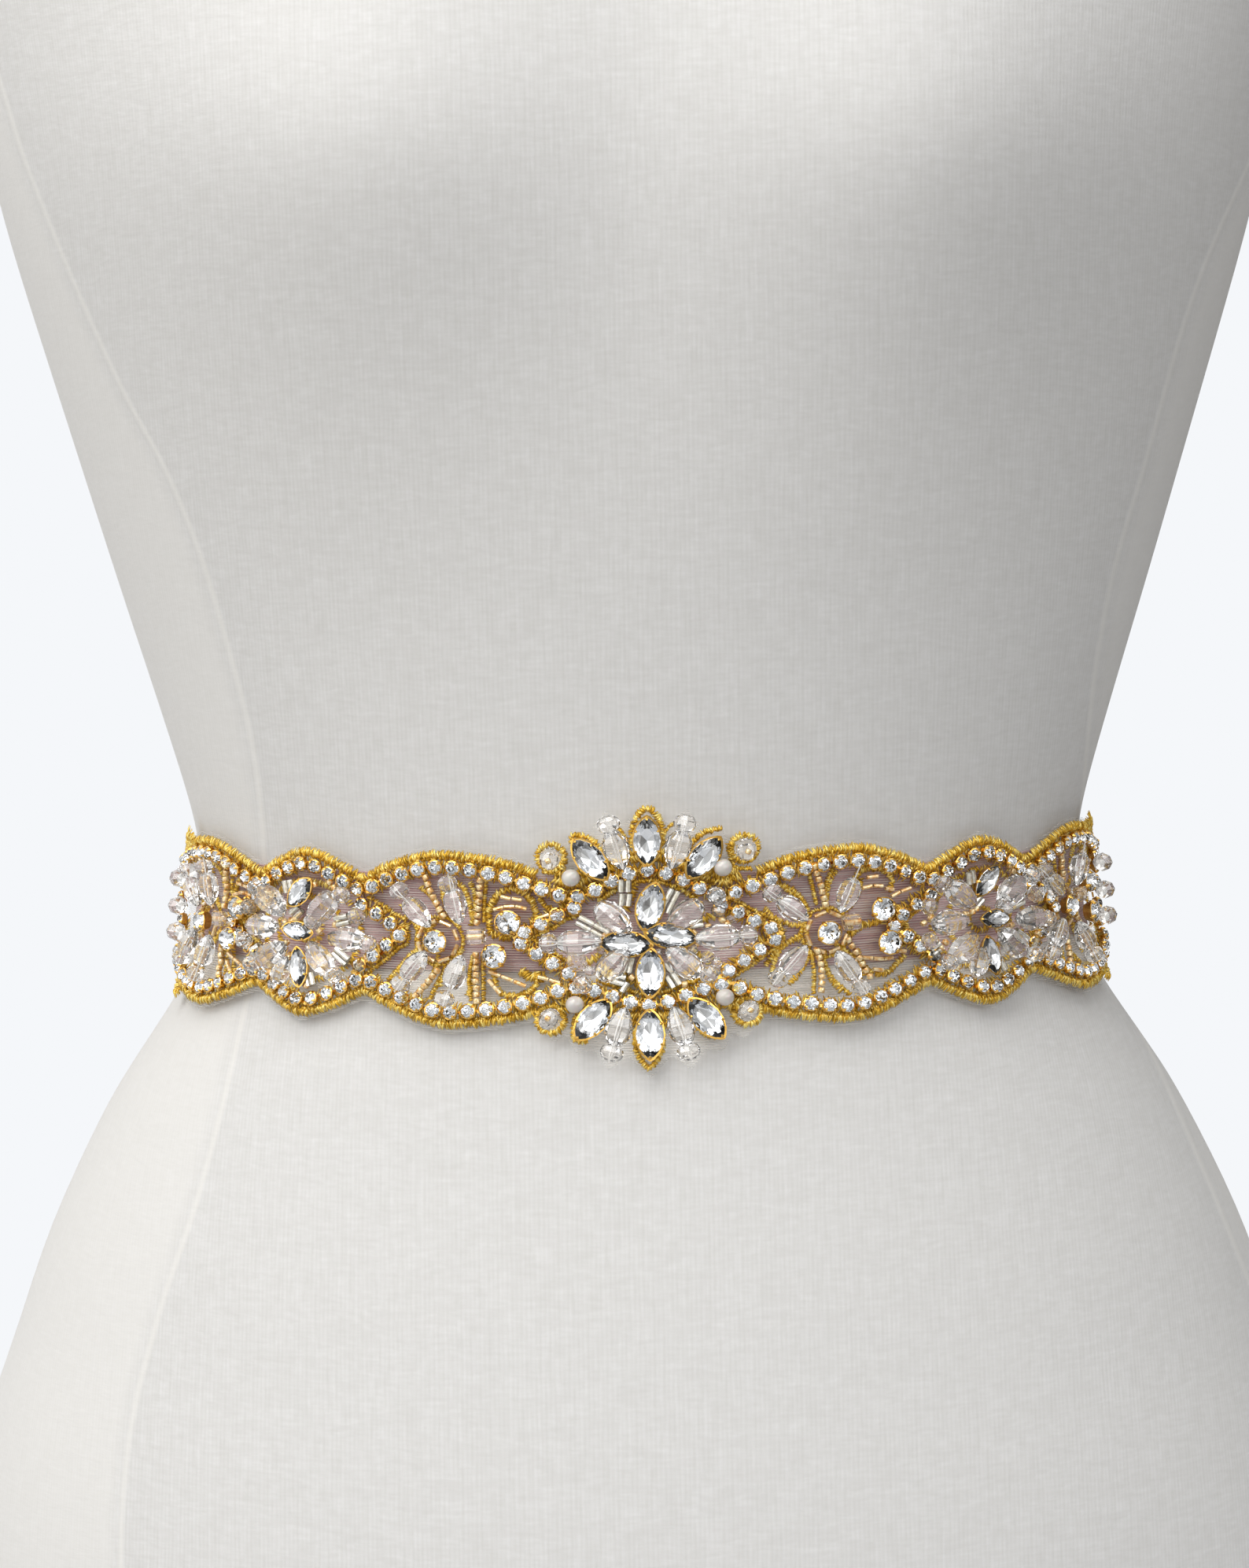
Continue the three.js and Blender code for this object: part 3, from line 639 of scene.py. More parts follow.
# ---------- lines of the applique, in mm from the medallion ----------
chainRows = np.array([      # x, top, bottom
    (0, 16.1, -15), (4, 15.3, -14.3), (8, 13.6, -12.9), (12, 11.2, -11.5), (16.5, 9.9, -10.8),
    (21, 11.3, -12.2), (25, 12.6, -13.9), (33, 15.2, -15.7), (44, 16.6, -16.9), (51, 15.9, -15.4),
    (59, 13.2, -12.1), (65, 10.8, -10.2), (72, 13.8, -13.4), (80, 16.4, -16), (88, 13.8, -13.4),
    (95, 10.6, -10.2), (102, 12.8, -12.4), (110, 15.6, -15.4), (116, 16.5, -16.7), (125, 15.8, -15.8),
    (134, 13.4, -13),
])
endCentre, endReach = 134, 7
fanReach = np.array([(0, 31), (2, 29), (4.6, 26.2), (8.7, 29.4), (12, 25), (15.6, 25.6), (18, 21.6), (20.6, 23.2),
                     (24.5, 17.6)])


def chainPoints(side, start, stop):
    # Points on the chain's line over the top (side 1) or under the bottom (side -1), left to right.
    column = 1 if side > 0 else 2
    last = chainRows[-1, column]
    right = [(x, row[column]) for row in chainRows for x in [row[0]]]
    right += [(endCentre + endReach * math.sin(a), last * math.cos(a)) for a in np.radians([25, 50, 78])]
    line = [(-x, y) for x, y in right[:0:-1]] + right
    return [point for point in line if start <= point[0] <= stop]


def netEdge(x, side):
    distance = abs(x)
    if distance < fanReach[-1, 0]:
        return side * np.interp(distance, fanReach[:, 0], fanReach[:, 1])
    column = 1 if side > 0 else 2
    past = min(max(distance - endCentre, 0) / (endReach + 4.6), 0.999)
    return (np.interp(distance, chainRows[:, 0], chainRows[:, column]) + side * 4.8) * math.sqrt(1 - past ** 2)


def makeNet():
    bm = bmesh.new()
    bmesh.ops.create_grid(bm, x_segments=460, y_segments=30, size=0.5)
    whole = 2 * (endCentre + endReach + 4.2)
    for vert in bm.verts:
        x = vert.co.x * whole
        low, high = netEdge(x, -1), netEdge(x, 1)
        y = low + (high - low) * (vert.co.y + 0.5)
        pucker = 0.12 * math.sin(x * 0.9) * math.cos(y * 0.7)
        vert.co = ((medallionX + x) * mm, y * mm, (2.3 + pucker) * mm)
    flatUv(bm)
    wrapFlat(bm)
    ground = addPiece("netGround", bm, [net], smooth=True)
    wall = ground.modifiers.new("wall", "SOLIDIFY")
    wall.thickness, wall.offset = 0.12 * mm, 0
    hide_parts("net_applique")
    return ground


ground = makeNet()
print("net laid")


# ---------- gold embroidery ----------
def stitchShape():
    # One stitch: a thread that rises in a low arch from edge to edge, 2 long and 1 high before scaling.
    bm = bmesh.new()
    bmesh.ops.create_cone(bm, segments=4, radius1=0.5, radius2=0.5, depth=2.0, cap_ends=True)
    bmesh.ops.rotate(bm, verts=bm.verts, matrix=Matrix.Rotation(math.radians(90), 3, "Y"))
    long = [edge for edge in bm.edges if abs(edge.verts[0].co.x - edge.verts[1].co.x) > 1]
    bmesh.ops.subdivide_edges(bm, edges=long, cuts=3, use_grid_fill=False)
    for vert in bm.verts:
        rise = 1 - vert.co.x ** 2
        thin = 0.35 + 0.65 * rise
        vert.co.y *= thin
        vert.co.z = vert.co.z * thin * 0.5 + rise
    return bm


def sewLine(stitches, points, width, height=0.7, lift=2.6, pitch=0.36, slant=24, closed=False, thick=0.5,
            loose=0.08):
    # Adds the stitches of one embroidered line to the list, each (place, shade).
    for x, y, turn in smoothPath(points, pitch, closed):
        lean = slant * rng.choice((-1, 1)) * rng.uniform(0.3, 1.2)
        size = (width / 2 * rng.uniform(0.82, 1.12), thick * rng.uniform(0.75, 1.25), height * rng.uniform(0.6, 1.2))
        jitter = rng.normal(0, loose * width, 2)
        place = placeAt(x + jitter[0] * 0.4, y + jitter[1], lift, turn + 90 + lean, size)
        # The stitch's random shade sets where its colour falls between painted shadow and painted highlight.
        stitches.append((place, rng.uniform(0, 0.75)))


def sewPiece(name, stitches, replaced=()):
    places, shades = zip(*stitches)
    piece = stampCopies(name, stitchShape(), places, [thread], smooth=True, shades=np.array(shades))
    if replaced:
        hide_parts(*replaced)
    return piece


def sewBorder():
    stitches = []
    for side in (1, -1):
        for start, stop in ((-142, -22.5), (22.5, 142)):
            line = smoothPath(fromMedallion(chainPoints(side, start, stop)), 3.0)
            sewLine(stitches, shifted(line, side * 2.6), width=2.3, height=0.95, pitch=0.22, slant=20, loose=0.06)
            sewLine(stitches, shifted(line, side * 1.9), width=1.6, height=0.6, pitch=0.4)
    names = [f"border_{row}_{side}" for row in ("top", "bottom") for side in ("left", "right")]
    return sewPiece("goldBorder", stitches, names)


arrowPoints = {     # cup-chain arrows, from root to root round the tip
    "medallion": [(15.8, 7.6), (18.8, 6.3), (22, 4.4), (25.3, 2.7), (28.7, 0.4), (26, -1.7), (23.3, -3.6),
                  (20.6, -5.3), (17.2, -7.6)],
    "flower": [(15.6, 7.2), (18.9, 5.6), (21.7, 3.8), (25.4, 1.3), (22.8, -1), (20.4, -3.2), (17.8, -5.1),
               (15.2, -7)],
}
flowerX = 80.6


def arrowLines():
    for way in (1, -1):
        yield fromMedallion([(way * x, y) for x, y in arrowPoints["medallion"]])
        for side in (1, -1):
            yield fromMedallion([(side * flowerX + way * x, y) for x, y in arrowPoints["flower"]])


embroideredLines = {        # name: width and points from the medallion
    "topTip": (1.7, [(-3.1, 21.4), (-3, 25.4), (-1.7, 28.4), (0.2, 29.8), (2, 28.4), (3.2, 25.4), (3.2, 21.4)]),
    "bottomTip": (1.5, [(-2.9, -20.2), (-3, -24.6), (-1.4, -27.8), (-0.3, -28.9), (1, -27.8), (2.6, -24.6), (2.6, -20.2)]),
    "rightTopLeaf": (1.5, [(8.6, 18.6), (9.4, 21.2), (12, 23.8), (16, 24.9)]),
    "leftTopLeaf": (1.5, [(-15.6, 20.4), (-16, 23.6), (-12.4, 23.2), (-10, 20.6), (-8.8, 18)]),
    "leftBottomLeaf": (1.4, [(-14.6, -15.6), (-16.1, -18.6), (-16, -22.4), (-13.2, -22.9)]),
    "rightBottomLeaf": (1.4, [(8.4, -16.6), (9.8, -19.6), (12.4, -22), (15.9, -22.2)]),
    "leftTopLine": (0.9, [(-6.3, 26), (-4.6, 23.2), (-3.7, 19.6)]),
    "rightTopLine": (0.9, [(5.7, 26.2), (4.1, 24.6), (3.3, 22)]),
    "rightFanRoot": (1.2, [(17.4, 21.2), (19, 16.2), (22.6, 15.6)]),
    "leftFanRoot": (1.2, [(-17.6, 20), (-19.4, 15.6), (-22.6, 15.6)]),
}
underStitches = [(-9.6, -3.4, 20, 9), (10.4, -3.6, -30, 9), (-5.6, -8.4, 150, 8), (6, -8.6, 30, 8), (12, 4, 20, 9),
                 (-8, 3, -30, 6), (-3.6, 9.6, 70, 6), (0.4, 0, 0, 5)]      # x, y, turn, length
ringBeads = [(-20.7, 18.9), (21.1, 20.3), (-21.2, -18), (21.1, -16.9)]
pearlSpots = [(-16.3, 14.6), (16.1, 16.4), (-15.8, -14.7), (16.1, -13.6)]


def sewGround():
    stitches = []
    for side in (1, -1):
        line = smoothPath(fromMedallion(chainPoints(side, -142, 142)), 3.0)
        sewLine(stitches, line[:, :2], width=4.2, height=0.45, lift=2.45, pitch=0.4)
        middle = smoothPath(fromMedallion(chainPoints(side, -21.5, 21.5)), 2.0)
        for distance, width in ((2.7, 2.6), (4.4, 2.4)):
            sewLine(stitches, shifted(middle, side * distance), width, height=0.8, pitch=0.26)
        inner = smoothPath(fromMedallion(chainPoints(side, -13, 13)), 2.0)
        sewLine(stitches, shifted(inner, side * -2.5), width=1.5, height=0.7, pitch=0.26)
    for points in arrowLines():
        sewLine(stitches, points, width=4.4, height=0.45, lift=2.45, pitch=0.36)
        sewLine(stitches, shifted(smoothPath(points, 2.0), 2.0), width=1.2, height=0.6, pitch=0.34)
    for width, points in embroideredLines.values():
        sewLine(stitches, fromMedallion(points), width, height=0.8, pitch=0.24)
    for side in (1, -1):
        tip = [(side * 127, 16.6), (side * 129.4, 18.6), (side * 131.4, 19.8), (side * 133.4, 18.4), (side * 136, 15.6)]
        sewLine(stitches, fromMedallion(tip), width=3.2, height=0.9, pitch=0.2)
        low = [(side * 128, -17), (side * 131, -19.8), (side * 134, -17)]
        sewLine(stitches, fromMedallion(low), width=2.2, height=0.9, pitch=0.2)
    for side in (1, -1):
        for reach in (3, 8.5, 12.5):
            ring = [(side * flowerX + 1.15 * x, 0.4 + 0.92 * y) for x, y in ringPoints(0, 0, reach)]
            sewLine(stitches, fromMedallion(ring), width=1.8, height=0.5, lift=2.4, pitch=0.5, closed=True)
    for x, y, turn, length in underStitches:
        angle = math.radians(turn)
        reach = (length / 2 * math.cos(angle), length / 2 * math.sin(angle))
        line = [(x - reach[0], y - reach[1]), (x, y), (x + reach[0], y + reach[1])]
        sewLine(stitches, fromMedallion(line), width=2.2, height=0.5, lift=2.4, pitch=0.34)
    for x, y in fromMedallion(ringBeads):
        sewLine(stitches, ringPoints(x, y, 3.0), width=1.7, height=0.9, pitch=0.26, closed=True)
    return sewPiece("goldGround", stitches)


goldBorder = sewBorder()
goldGround = sewGround()
print("embroidery sewn")


# ---------- cup chain ----------
def ringEdges(bm, verts):
    known = set(verts)
    return [edge for edge in bm.edges if edge.verts[0] in known and edge.verts[1] in known]


def gemShape(sides, rows, pointed=0.0, tableTurn=0.5):
    # A cut stone from its table down: rows are (scale, height); odd rows turn half a facet, so the
    # facets come out as triangles. The last row closes in a point. Faces under the girdle are foil.
    bm = bmesh.new()
    ring = bmesh.ops.create_circle(bm, segments=sides, radius=1.0)["verts"]
    girdle = max(range(len(rows)), key=lambda k: rows[k][0])
    flat = [Vector(v.co) for v in ring]
    step = 2 * math.pi / sides
    for k, (scale, height) in enumerate(rows):
        if k:
            made = bmesh.ops.extrude_edge_only(bm, edges=ringEdges(bm, ring))["geom"]
            fresh = [g for g in made if isinstance(g, bmesh.types.BMVert)]
            order = {(round(v.co.x, 5), round(v.co.y, 5)): v for v in fresh}
            ring = [order[round(v.co.x, 5), round(v.co.y, 5)] for v in ring]
        turn = Matrix.Rotation(tableTurn * step * (k % 2), 3, "Z")
        for vert, spot in zip(ring, flat):
            vert.co = turn @ spot * scale
            vert.co.z = height
        if k == 0:
            bmesh.ops.contextual_create(bm, geom=ringEdges(bm, ring))
    bmesh.ops.pointmerge(bm, verts=ring, merge_co=(0, 0, rows[-1][1]))
    bmesh.ops.triangulate(bm, faces=[f for f in bm.faces if len(f.verts) == 4])
    for vert in bm.verts:
        if pointed:
            edge = min(math.hypot(vert.co.x, vert.co.y), 1)
            side = abs(vert.co.y) / max(edge, 1e-6)
            vert.co.y *= side ** pointed
    bmesh.ops.recalc_face_normals(bm, faces=bm.faces)
    for face in bm.faces:
        face.material_index = int(face.calc_center_median().z < rows[girdle][1] - 0.01)
    return bm


def roundStone():
    return gemShape(8, [(0.5, 1.15), (0.98, 0.85), (1.32, 0.4), (1.32, 0.28), (0.02, -1.05)])


def cupShape():
    # A stamped cup with four prongs bent over the stone, and the link to the next cup.
    bm = bmesh.new()
    profile = [(1.25, -0.8), (1.62, 0.25), (1.4, 0.35), (1.1, -0.7)]
    verts = [bm.verts.new((x, 0, z)) for x, z in profile]
    edges = [bm.edges.new((verts[i], verts[(i + 1) % 4])) for i in range(4)]
    bmesh.ops.spin(bm, geom=verts + edges, cent=(0, 0, 0), axis=(0, 0, 1), angle=2 * math.pi, steps=12,
                   use_merge=True, use_duplicate=False)
    bmesh.ops.recalc_face_normals(bm, faces=bm.faces)
    for turn in (45, 135, 225, 315):
        place = Matrix.Rotation(math.radians(turn), 4, "Z") @ Matrix.Translation((1.36, 0, 0.42))
        place = place @ Matrix.Rotation(math.radians(-28), 4, "Y") @ Matrix.Diagonal((0.3, 0.36, 0.68, 1))
        bmesh.ops.create_icosphere(bm, subdivisions=1, radius=1.0, matrix=place)
    link = Matrix.Translation((2.05, 0, -0.5)) @ Matrix.Diagonal((1.2, 0.6, 0.4, 1))
    bmesh.ops.create_cube(bm, size=1.0, matrix=link)
    return bm


chainPitch = 4.08
chainNodes = ["chain_top", "chain_bottom"]
chainNodes += [f"chain_point_{spot}_{side}" for spot in ("centre", "inner", "outer") for side in ("left", "right")]


def layChain():
    places = []
    for side in (1, -1):
        for x, y, turn in smoothPath(fromMedallion(chainPoints(side, -142, 142)), chainPitch):
            places.append((x, y, turn))
    for points in arrowLines():
        places += [tuple(stop) for stop in smoothPath(points, chainPitch * 0.97)]
    wobble = [(x, y, turn + rng.normal(0, 5), rng.normal(0, 8), rng.normal(0, 0.12)) for x, y, turn in places]
    cups = stampCopies("chainCups", cupShape(), [placeAt(x, y, 4.2 + up, turn, 1.12, tip)
                                                 for x, y, turn, tip, up in wobble], [plate], smooth=False)
    stones = stampCopies("chainStones", roundStone(), [placeAt(x, y, 4.2 + up, turn + rng.uniform(0, 45), 1.15, tip)
                                                       for x, y, turn, tip, up in wobble], [crystal, foil])
    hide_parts(*chainNodes)
    return [cups, stones]


chainPieces = layChain()
print("chain laid")


# ---------- stones and beads ----------
def navetteShape():
    bm = gemShape(12, [(0.5, 1.75), (0.78, 1.45), (1.0, 0.9), (1.0, 0.7), (0.5, 0.15), (0.02, -0.15)], pointed=0.45)
    bmesh.ops.scale(bm, vec=(5.2, 2.75, 1.0), verts=bm.verts)
    return bm


def navetteSetting():
    # A shallow gold tray round the girdle with claws at the ends and sides.
    bm = bmesh.new()
    profile = [(0.9, -0.75), (1.1, 0.8), (0.98, 0.85), (0.8, -0.6)]
    verts = [bm.verts.new((x, 0, z)) for x, z in profile]
    edges = [bm.edges.new((verts[i], verts[(i + 1) % 4])) for i in range(4)]
    bmesh.ops.spin(bm, geom=verts + edges, cent=(0, 0, 0), axis=(0, 0, 1), angle=2 * math.pi, steps=16,
                   use_merge=True, use_duplicate=False)
    for vert in bm.verts:
        edge = math.hypot(vert.co.x, vert.co.y)
        vert.co.y *= (abs(vert.co.y) / max(edge, 1e-6)) ** 0.45
    bmesh.ops.scale(bm, vec=(5.15, 2.75, 1.0), verts=bm.verts)
    bmesh.ops.recalc_face_normals(bm, faces=bm.faces)
    for x, y, turn in ((4.9, 0, 0), (-4.9, 0, 180), (2.2, 2.25, 65), (-2.2, 2.25, 115), (2.2, -2.25, -65), (-2.2, -2.25, -115)):
        place = Matrix.Translation((x, y, 1.0)) @ Matrix.Rotation(math.radians(turn), 4, "Z")
        place = place @ Matrix.Rotation(math.radians(-35), 4, "Y") @ Matrix.Diagonal((0.28, 0.34, 0.6, 1))
        bmesh.ops.create_icosphere(bm, subdivisions=1, radius=1.0, matrix=place)
    return bm


def chatonShape():
    return gemShape(12, [(1.45, 1.9), (2.15, 1.45), (2.7, 0.8), (2.7, 0.6), (0.02, -1.3)])


def chatonSetting():
    bm = bmesh.new()
    profile = [(2.0, -1.6), (2.95, 0.6), (2.7, 0.75), (1.8, -1.4)]
    verts = [bm.verts.new((x, 0, z)) for x, z in profile]
    edges = [bm.edges.new((verts[i], verts[(i + 1) % 4])) for i in range(4)]
    bmesh.ops.spin(bm, geom=verts + edges, cent=(0, 0, 0), axis=(0, 0, 1), angle=2 * math.pi, steps=18,
                   use_merge=True, use_duplicate=False)
    bmesh.ops.recalc_face_normals(bm, faces=bm.faces)
    for turn in (45, 135, 225, 315):
        place = Matrix.Rotation(math.radians(turn), 4, "Z") @ Matrix.Translation((2.62, 0, 0.85))
        place = place @ Matrix.Rotation(math.radians(-32), 4, "Y") @ Matrix.Diagonal((0.4, 0.55, 0.95, 1))
        bmesh.ops.create_icosphere(bm, subdivisions=2, radius=1.0, matrix=place)
    return bm


def dropShape():
    # A faceted glass drop along x: narrow at -x, widest past the middle.
    bm = bmesh.new()
    bmesh.ops.create_uvsphere(bm, u_segments=8, v_segments=6, radius=1.0)
    bmesh.ops.rotate(bm, verts=bm.verts, matrix=Matrix.Rotation(math.radians(90), 3, "Y"))
    for vert in bm.verts:
        along = vert.co.x
        waist = 0.86 + 0.2 * along - 0.12 * along ** 2
        vert.co = (4.4 * along, vert.co.y * 2.95 * waist / 0.94, vert.co.z * 2.7 * waist / 0.94)
    bmesh.ops.recalc_face_normals(bm, faces=bm.faces)
    return bm


def ballShape():
    bm = bmesh.new()
    bmesh.ops.create_uvsphere(bm, u_segments=8, v_segments=6, radius=2.35)
    bmesh.ops.rotate(bm, verts=bm.verts, matrix=Matrix.Rotation(math.radians(90), 3, "Y"))
    bmesh.ops.scale(bm, vec=(0.86, 1.0, 1.0), verts=bm.verts)
    return bm


def threadShape():
    bm = bmesh.new()
    bmesh.ops.create_cone(bm, segments=6, radius1=0.16, radius2=0.16, depth=1.0, cap_ends=True)
    bmesh.ops.rotate(bm, verts=bm.verts, matrix=Matrix.Rotation(math.radians(90), 3, "Y"))
    return bm


def pearlShape():
    bm = bmesh.new()
    bmesh.ops.create_uvsphere(bm, u_segments=20, v_segments=12, radius=2.0)
    return bm


def bugleShape(sides, wall):
    # A tube bead along x, 1 long and 1 wide before scaling, its bore open from end to end.
    bm = bmesh.new()
    profile = [(-0.5, 0.5), (0.5, 0.5), (0.5, 0.5 - wall), (-0.5, 0.5 - wall)]
    verts = [bm.verts.new((x, 0, z)) for x, z in profile]
    edges = [bm.edges.new((verts[i], verts[(i + 1) % 4])) for i in range(4)]
    bmesh.ops.spin(bm, geom=verts + edges, cent=(0, 0, 0), axis=(1, 0, 0), angle=2 * math.pi, steps=sides,
                   use_merge=True, use_duplicate=False)
    bmesh.ops.recalc_face_normals(bm, faces=bm.faces)
    return bm


def seedShape():
    bm = bugleShape(8, 0.3)
    rims = [edge for edge in bm.edges if abs(edge.verts[0].co.x - edge.verts[1].co.x) < 1e-4
            and min(Vector(v.co.yz).length for v in edge.verts) > 0.45]
    bmesh.ops.bevel(bm, geom=rims, offset=0.14, affect="EDGES", segments=2, profile=0.5, material=-1)
    return bm


def squareShape():
    bm = bmesh.new()
    bmesh.ops.create_cube(bm, size=3.7)
    bmesh.ops.bevel(bm, geom=bm.edges, offset=0.7, affect="EDGES", segments=2, profile=0.5, material=-1)
    return bm


ovalDrops = {       # drops beyond the inner ovals: x and y from the medallion, turn, and the ball's place
    "left": [(-50.3, 6.2, 131, -54.3, 11.3), (-41.5, 8, 100, -43, 13.3), (-51, -6.4, 235, -53.9, -10.6),
             (-41.6, -7.6, 252, -43.8, -13.8)],
    "right": [(31.2, 6.2, 142, 26.5, 10.3), (43.5, 8.9, 68, None, None), (31.3, -5.6, 228, 27.5, -10),
              (43, -7.8, 300, 45.7, -13.1)],
}
ovalChatons = {"left": [(-46.7, -0.6), (-30.2, 4.2), (-33.3, -3.7)], "right": [(39.6, 0.2), (52.4, 5), (53.8, -3)]}
squareBeads = {"left": (-37.4, 0.8), "right": (44.9, 2.4)}
seedStrings = {
    "left": [[(-48.9, 14.2), (-47.8, 10.4), (-45.3, 5.4)], [(-36.4, 13.8), (-36.9, 9), (-37.5, 4)],
             [(-37.8, -3.5), (-37.7, -9), (-37.4, -14.2)], [(-46.6, -7.4), (-49, -10.6), (-51.4, -13.3)]],
    "right": [[(36.6, 15.6), (38, 11.6), (39.2, 6.8)], [(37.3, -4), (38, -8), (37.6, -13)],
              [(44.5, -1.8), (46.8, -6), (49, -10.6)]],
}
goldBugles = {      # gold lined tubes: ends
    "left": [(-33.6, 7, -31.4, 7.6), (-31.2, 7.7, -28.9, 7.8), (-28.7, 7.8, -26.3, 7.2), (-31.9, 10, -29.8, 9.6),
             (-29.4, 9.6, -27.3, 9.2), (-34.9, -7.3, -32.2, -8.3), (-32, -8.4, -29.4, -9.4), (-29.2, -9.5, -26.6, -10.6),
             (-34.9, -9.2, -33.8, -10.6), (-33.7, -10.7, -32.2, -12.3), (-23.9, 5, -21.4, 6), (-21.2, 6.1, -18.9, 6.9),
             (-23.9, -8.4, -21.7, -9), (-21.4, -9.1, -19.2, -9.8), (-35.2, -1.2, -35.9, -3)],
    "right": [(48, 10, 50.2, 10.4), (50.6, 10.4, 52.9, 10.2), (53.6, 9.6, 55.6, 9.2), (55.1, 7.6, 57.2, 8.5),
              (57.5, 8.6, 60, 9.3), (47.7, -6.2, 50, -6.4), (50.3, -6.5, 52.6, -6.8), (52.8, -6.8, 55, -6.6),
              (56.6, -5.2, 58.4, -5.4), (49, 12.4, 51.6, 12.6), (50, -9, 52.4, -9.4)],
}
ovalLines = {       # narrow embroidered lines: width, points
    "left": [(1.2, [(-54.6, 5), (-50, 1.6), (-47, 4.2)]), (1.5, [(-44.8, 13.8), (-40.6, 11.6), (-38.8, 5)]),
             (1.9, [(-34.8, 1.4), (-35, 6.6), (-32.6, 10.6), (-29, 11.6), (-25.6, 9.4), (-24.2, 5)]),
             (1.6, [(-34.6, -5.5), (-32.6, -12), (-28.2, -12.6), (-24.8, -10.6), (-24.2, -7.4)]),
             (2.6, [(-28, -7.2), (-25.4, -8.6), (-22.6, -8.2)]), (1.2, [(-38.9, -4), (-39.6, -9), (-39, -14)]),
             (1.6, [(-52, -3.4), (-55.8, -6.6), (-58.6, -10)]), (1.3, [(-42, -3), (-46.3, -9), (-48.4, -14)]),
             (1.8, [(-26.4, 2.8), (-30.6, 0.4), (-34.4, 1.2)]), (1.3, [(-49.8, 14.4), (-48.2, 9.6), (-45.4, 4.6)]),
             (1.5, [(-53, 4.6), (-51.6, 0.6), (-52, -3.6)]), (1.2, [(-35.4, 13.6), (-36, 9), (-36.2, 4)]),
             (1.2, [(-36.6, -3.5), (-36.4, -9), (-36.2, -14)]), (1.5, [(-23.6, 9.4), (-20.6, 5.6)])],
    "right": [(1.2, [(26.2, 12), (29, 11.6), (32.4, 8.8), (35, 4.6)]), (1.2, [(41.2, 14.8), (39.8, 11), (39.4, 7)]),
              (1.3, [(33.6, -0.2), (29.2, -3.2), (27.2, -7.6), (26.8, -10.4)]), (1.4, [(39, -6.6), (41, -11), (44.4, -14.2)]),
              (1.7, [(45.6, 7.6), (47, 12.8), (49.6, 14.2), (53.4, 13.8), (55.9, 11.4), (55.2, 8.9)]),
              (1.7, [(46.9, -4.2), (48.6, -8.4), (51, -10), (54.4, -9.8), (58.6, -6.4)]),
              (1.8, [(45.6, -0.6), (48.6, 1.2), (52.6, 2), (58, 4.8)]), (1.4, [(34.8, 3.6), (35.6, -3)]),
              (1.2, [(35.4, 15.4), (36.4, 11.6), (37.6, 6.8)]), (1.2, [(36, -4), (36.6, -8), (36.2, -13.6)]),
              (1.3, [(43.4, -3), (45.4, -7), (47.6, -11.6)]), (1.6, [(57.4, 5.2), (59.4, 0.8), (57.2, -4)])],
}
ovalShift = {"left": -72, "right": 72}      # the outer ovals repeat the inner ones this far on

centreSeeds = [(0.6, 1.8), (1.6, 0.4), (-0.2, -2.4), (9.8, 1.4), (10.6, -1), (-10.4, -1.4), (-9.2, 1.2), (16, 4.2),
               (17.2, 3.4), (-16.6, -4.6), (-3.6, -8.6), (2.6, -5), (7.6, -10.4), (13, 2.8)]
centreBalls = [(14.4, 10.3), (-13.9, -10.1), (12.6, -8)]
limbBalls = [(126, 9.6, 8.2), (124, 2.6, 9.2), (125.5, -4.4, 8.6)]      # stacked where the ends turn away
silverBugles = [    # x, y, turn, length, how many side by side
    (-13.6, 4, -30, 3.6, 2), (-10.4, 2.1, -30, 3.6, 2), (4.1, 7.7, 64, 2.7, 2), (5.3, 10.2, 64, 2.7, 2),
    (-4.9, 12.6, 88, 2.8, 2), (-4.8, 9.4, 84, 2.8, 2), (-4.5, -5.6, 76, 3.6, 2), (-6.6, -9, -16, 3, 2),
    (-5.2, -10.8, 60, 2.4, 1), (10.3, 3.8, 8, 3, 2), (5.2, -9.4, -62, 3, 2), (4.2, -6.6, -50, 2.6, 1),
]
smallBeads = [(15.2, 6.4, 1.5), (-15.4, -4.8, 2.2), (12.8, -4.2, 1.4), (-10, -2.2, 1.1), (2.2, -3, 0.9),
              (-1.2, 3.1, 0.9), (9.6, -2.6, 1.1), (-9.2, 0.8, 0.9), (14.6, -5.6, 1.2), (-12.6, -7, 1.2), (17.9, 4.4, 1.0)]
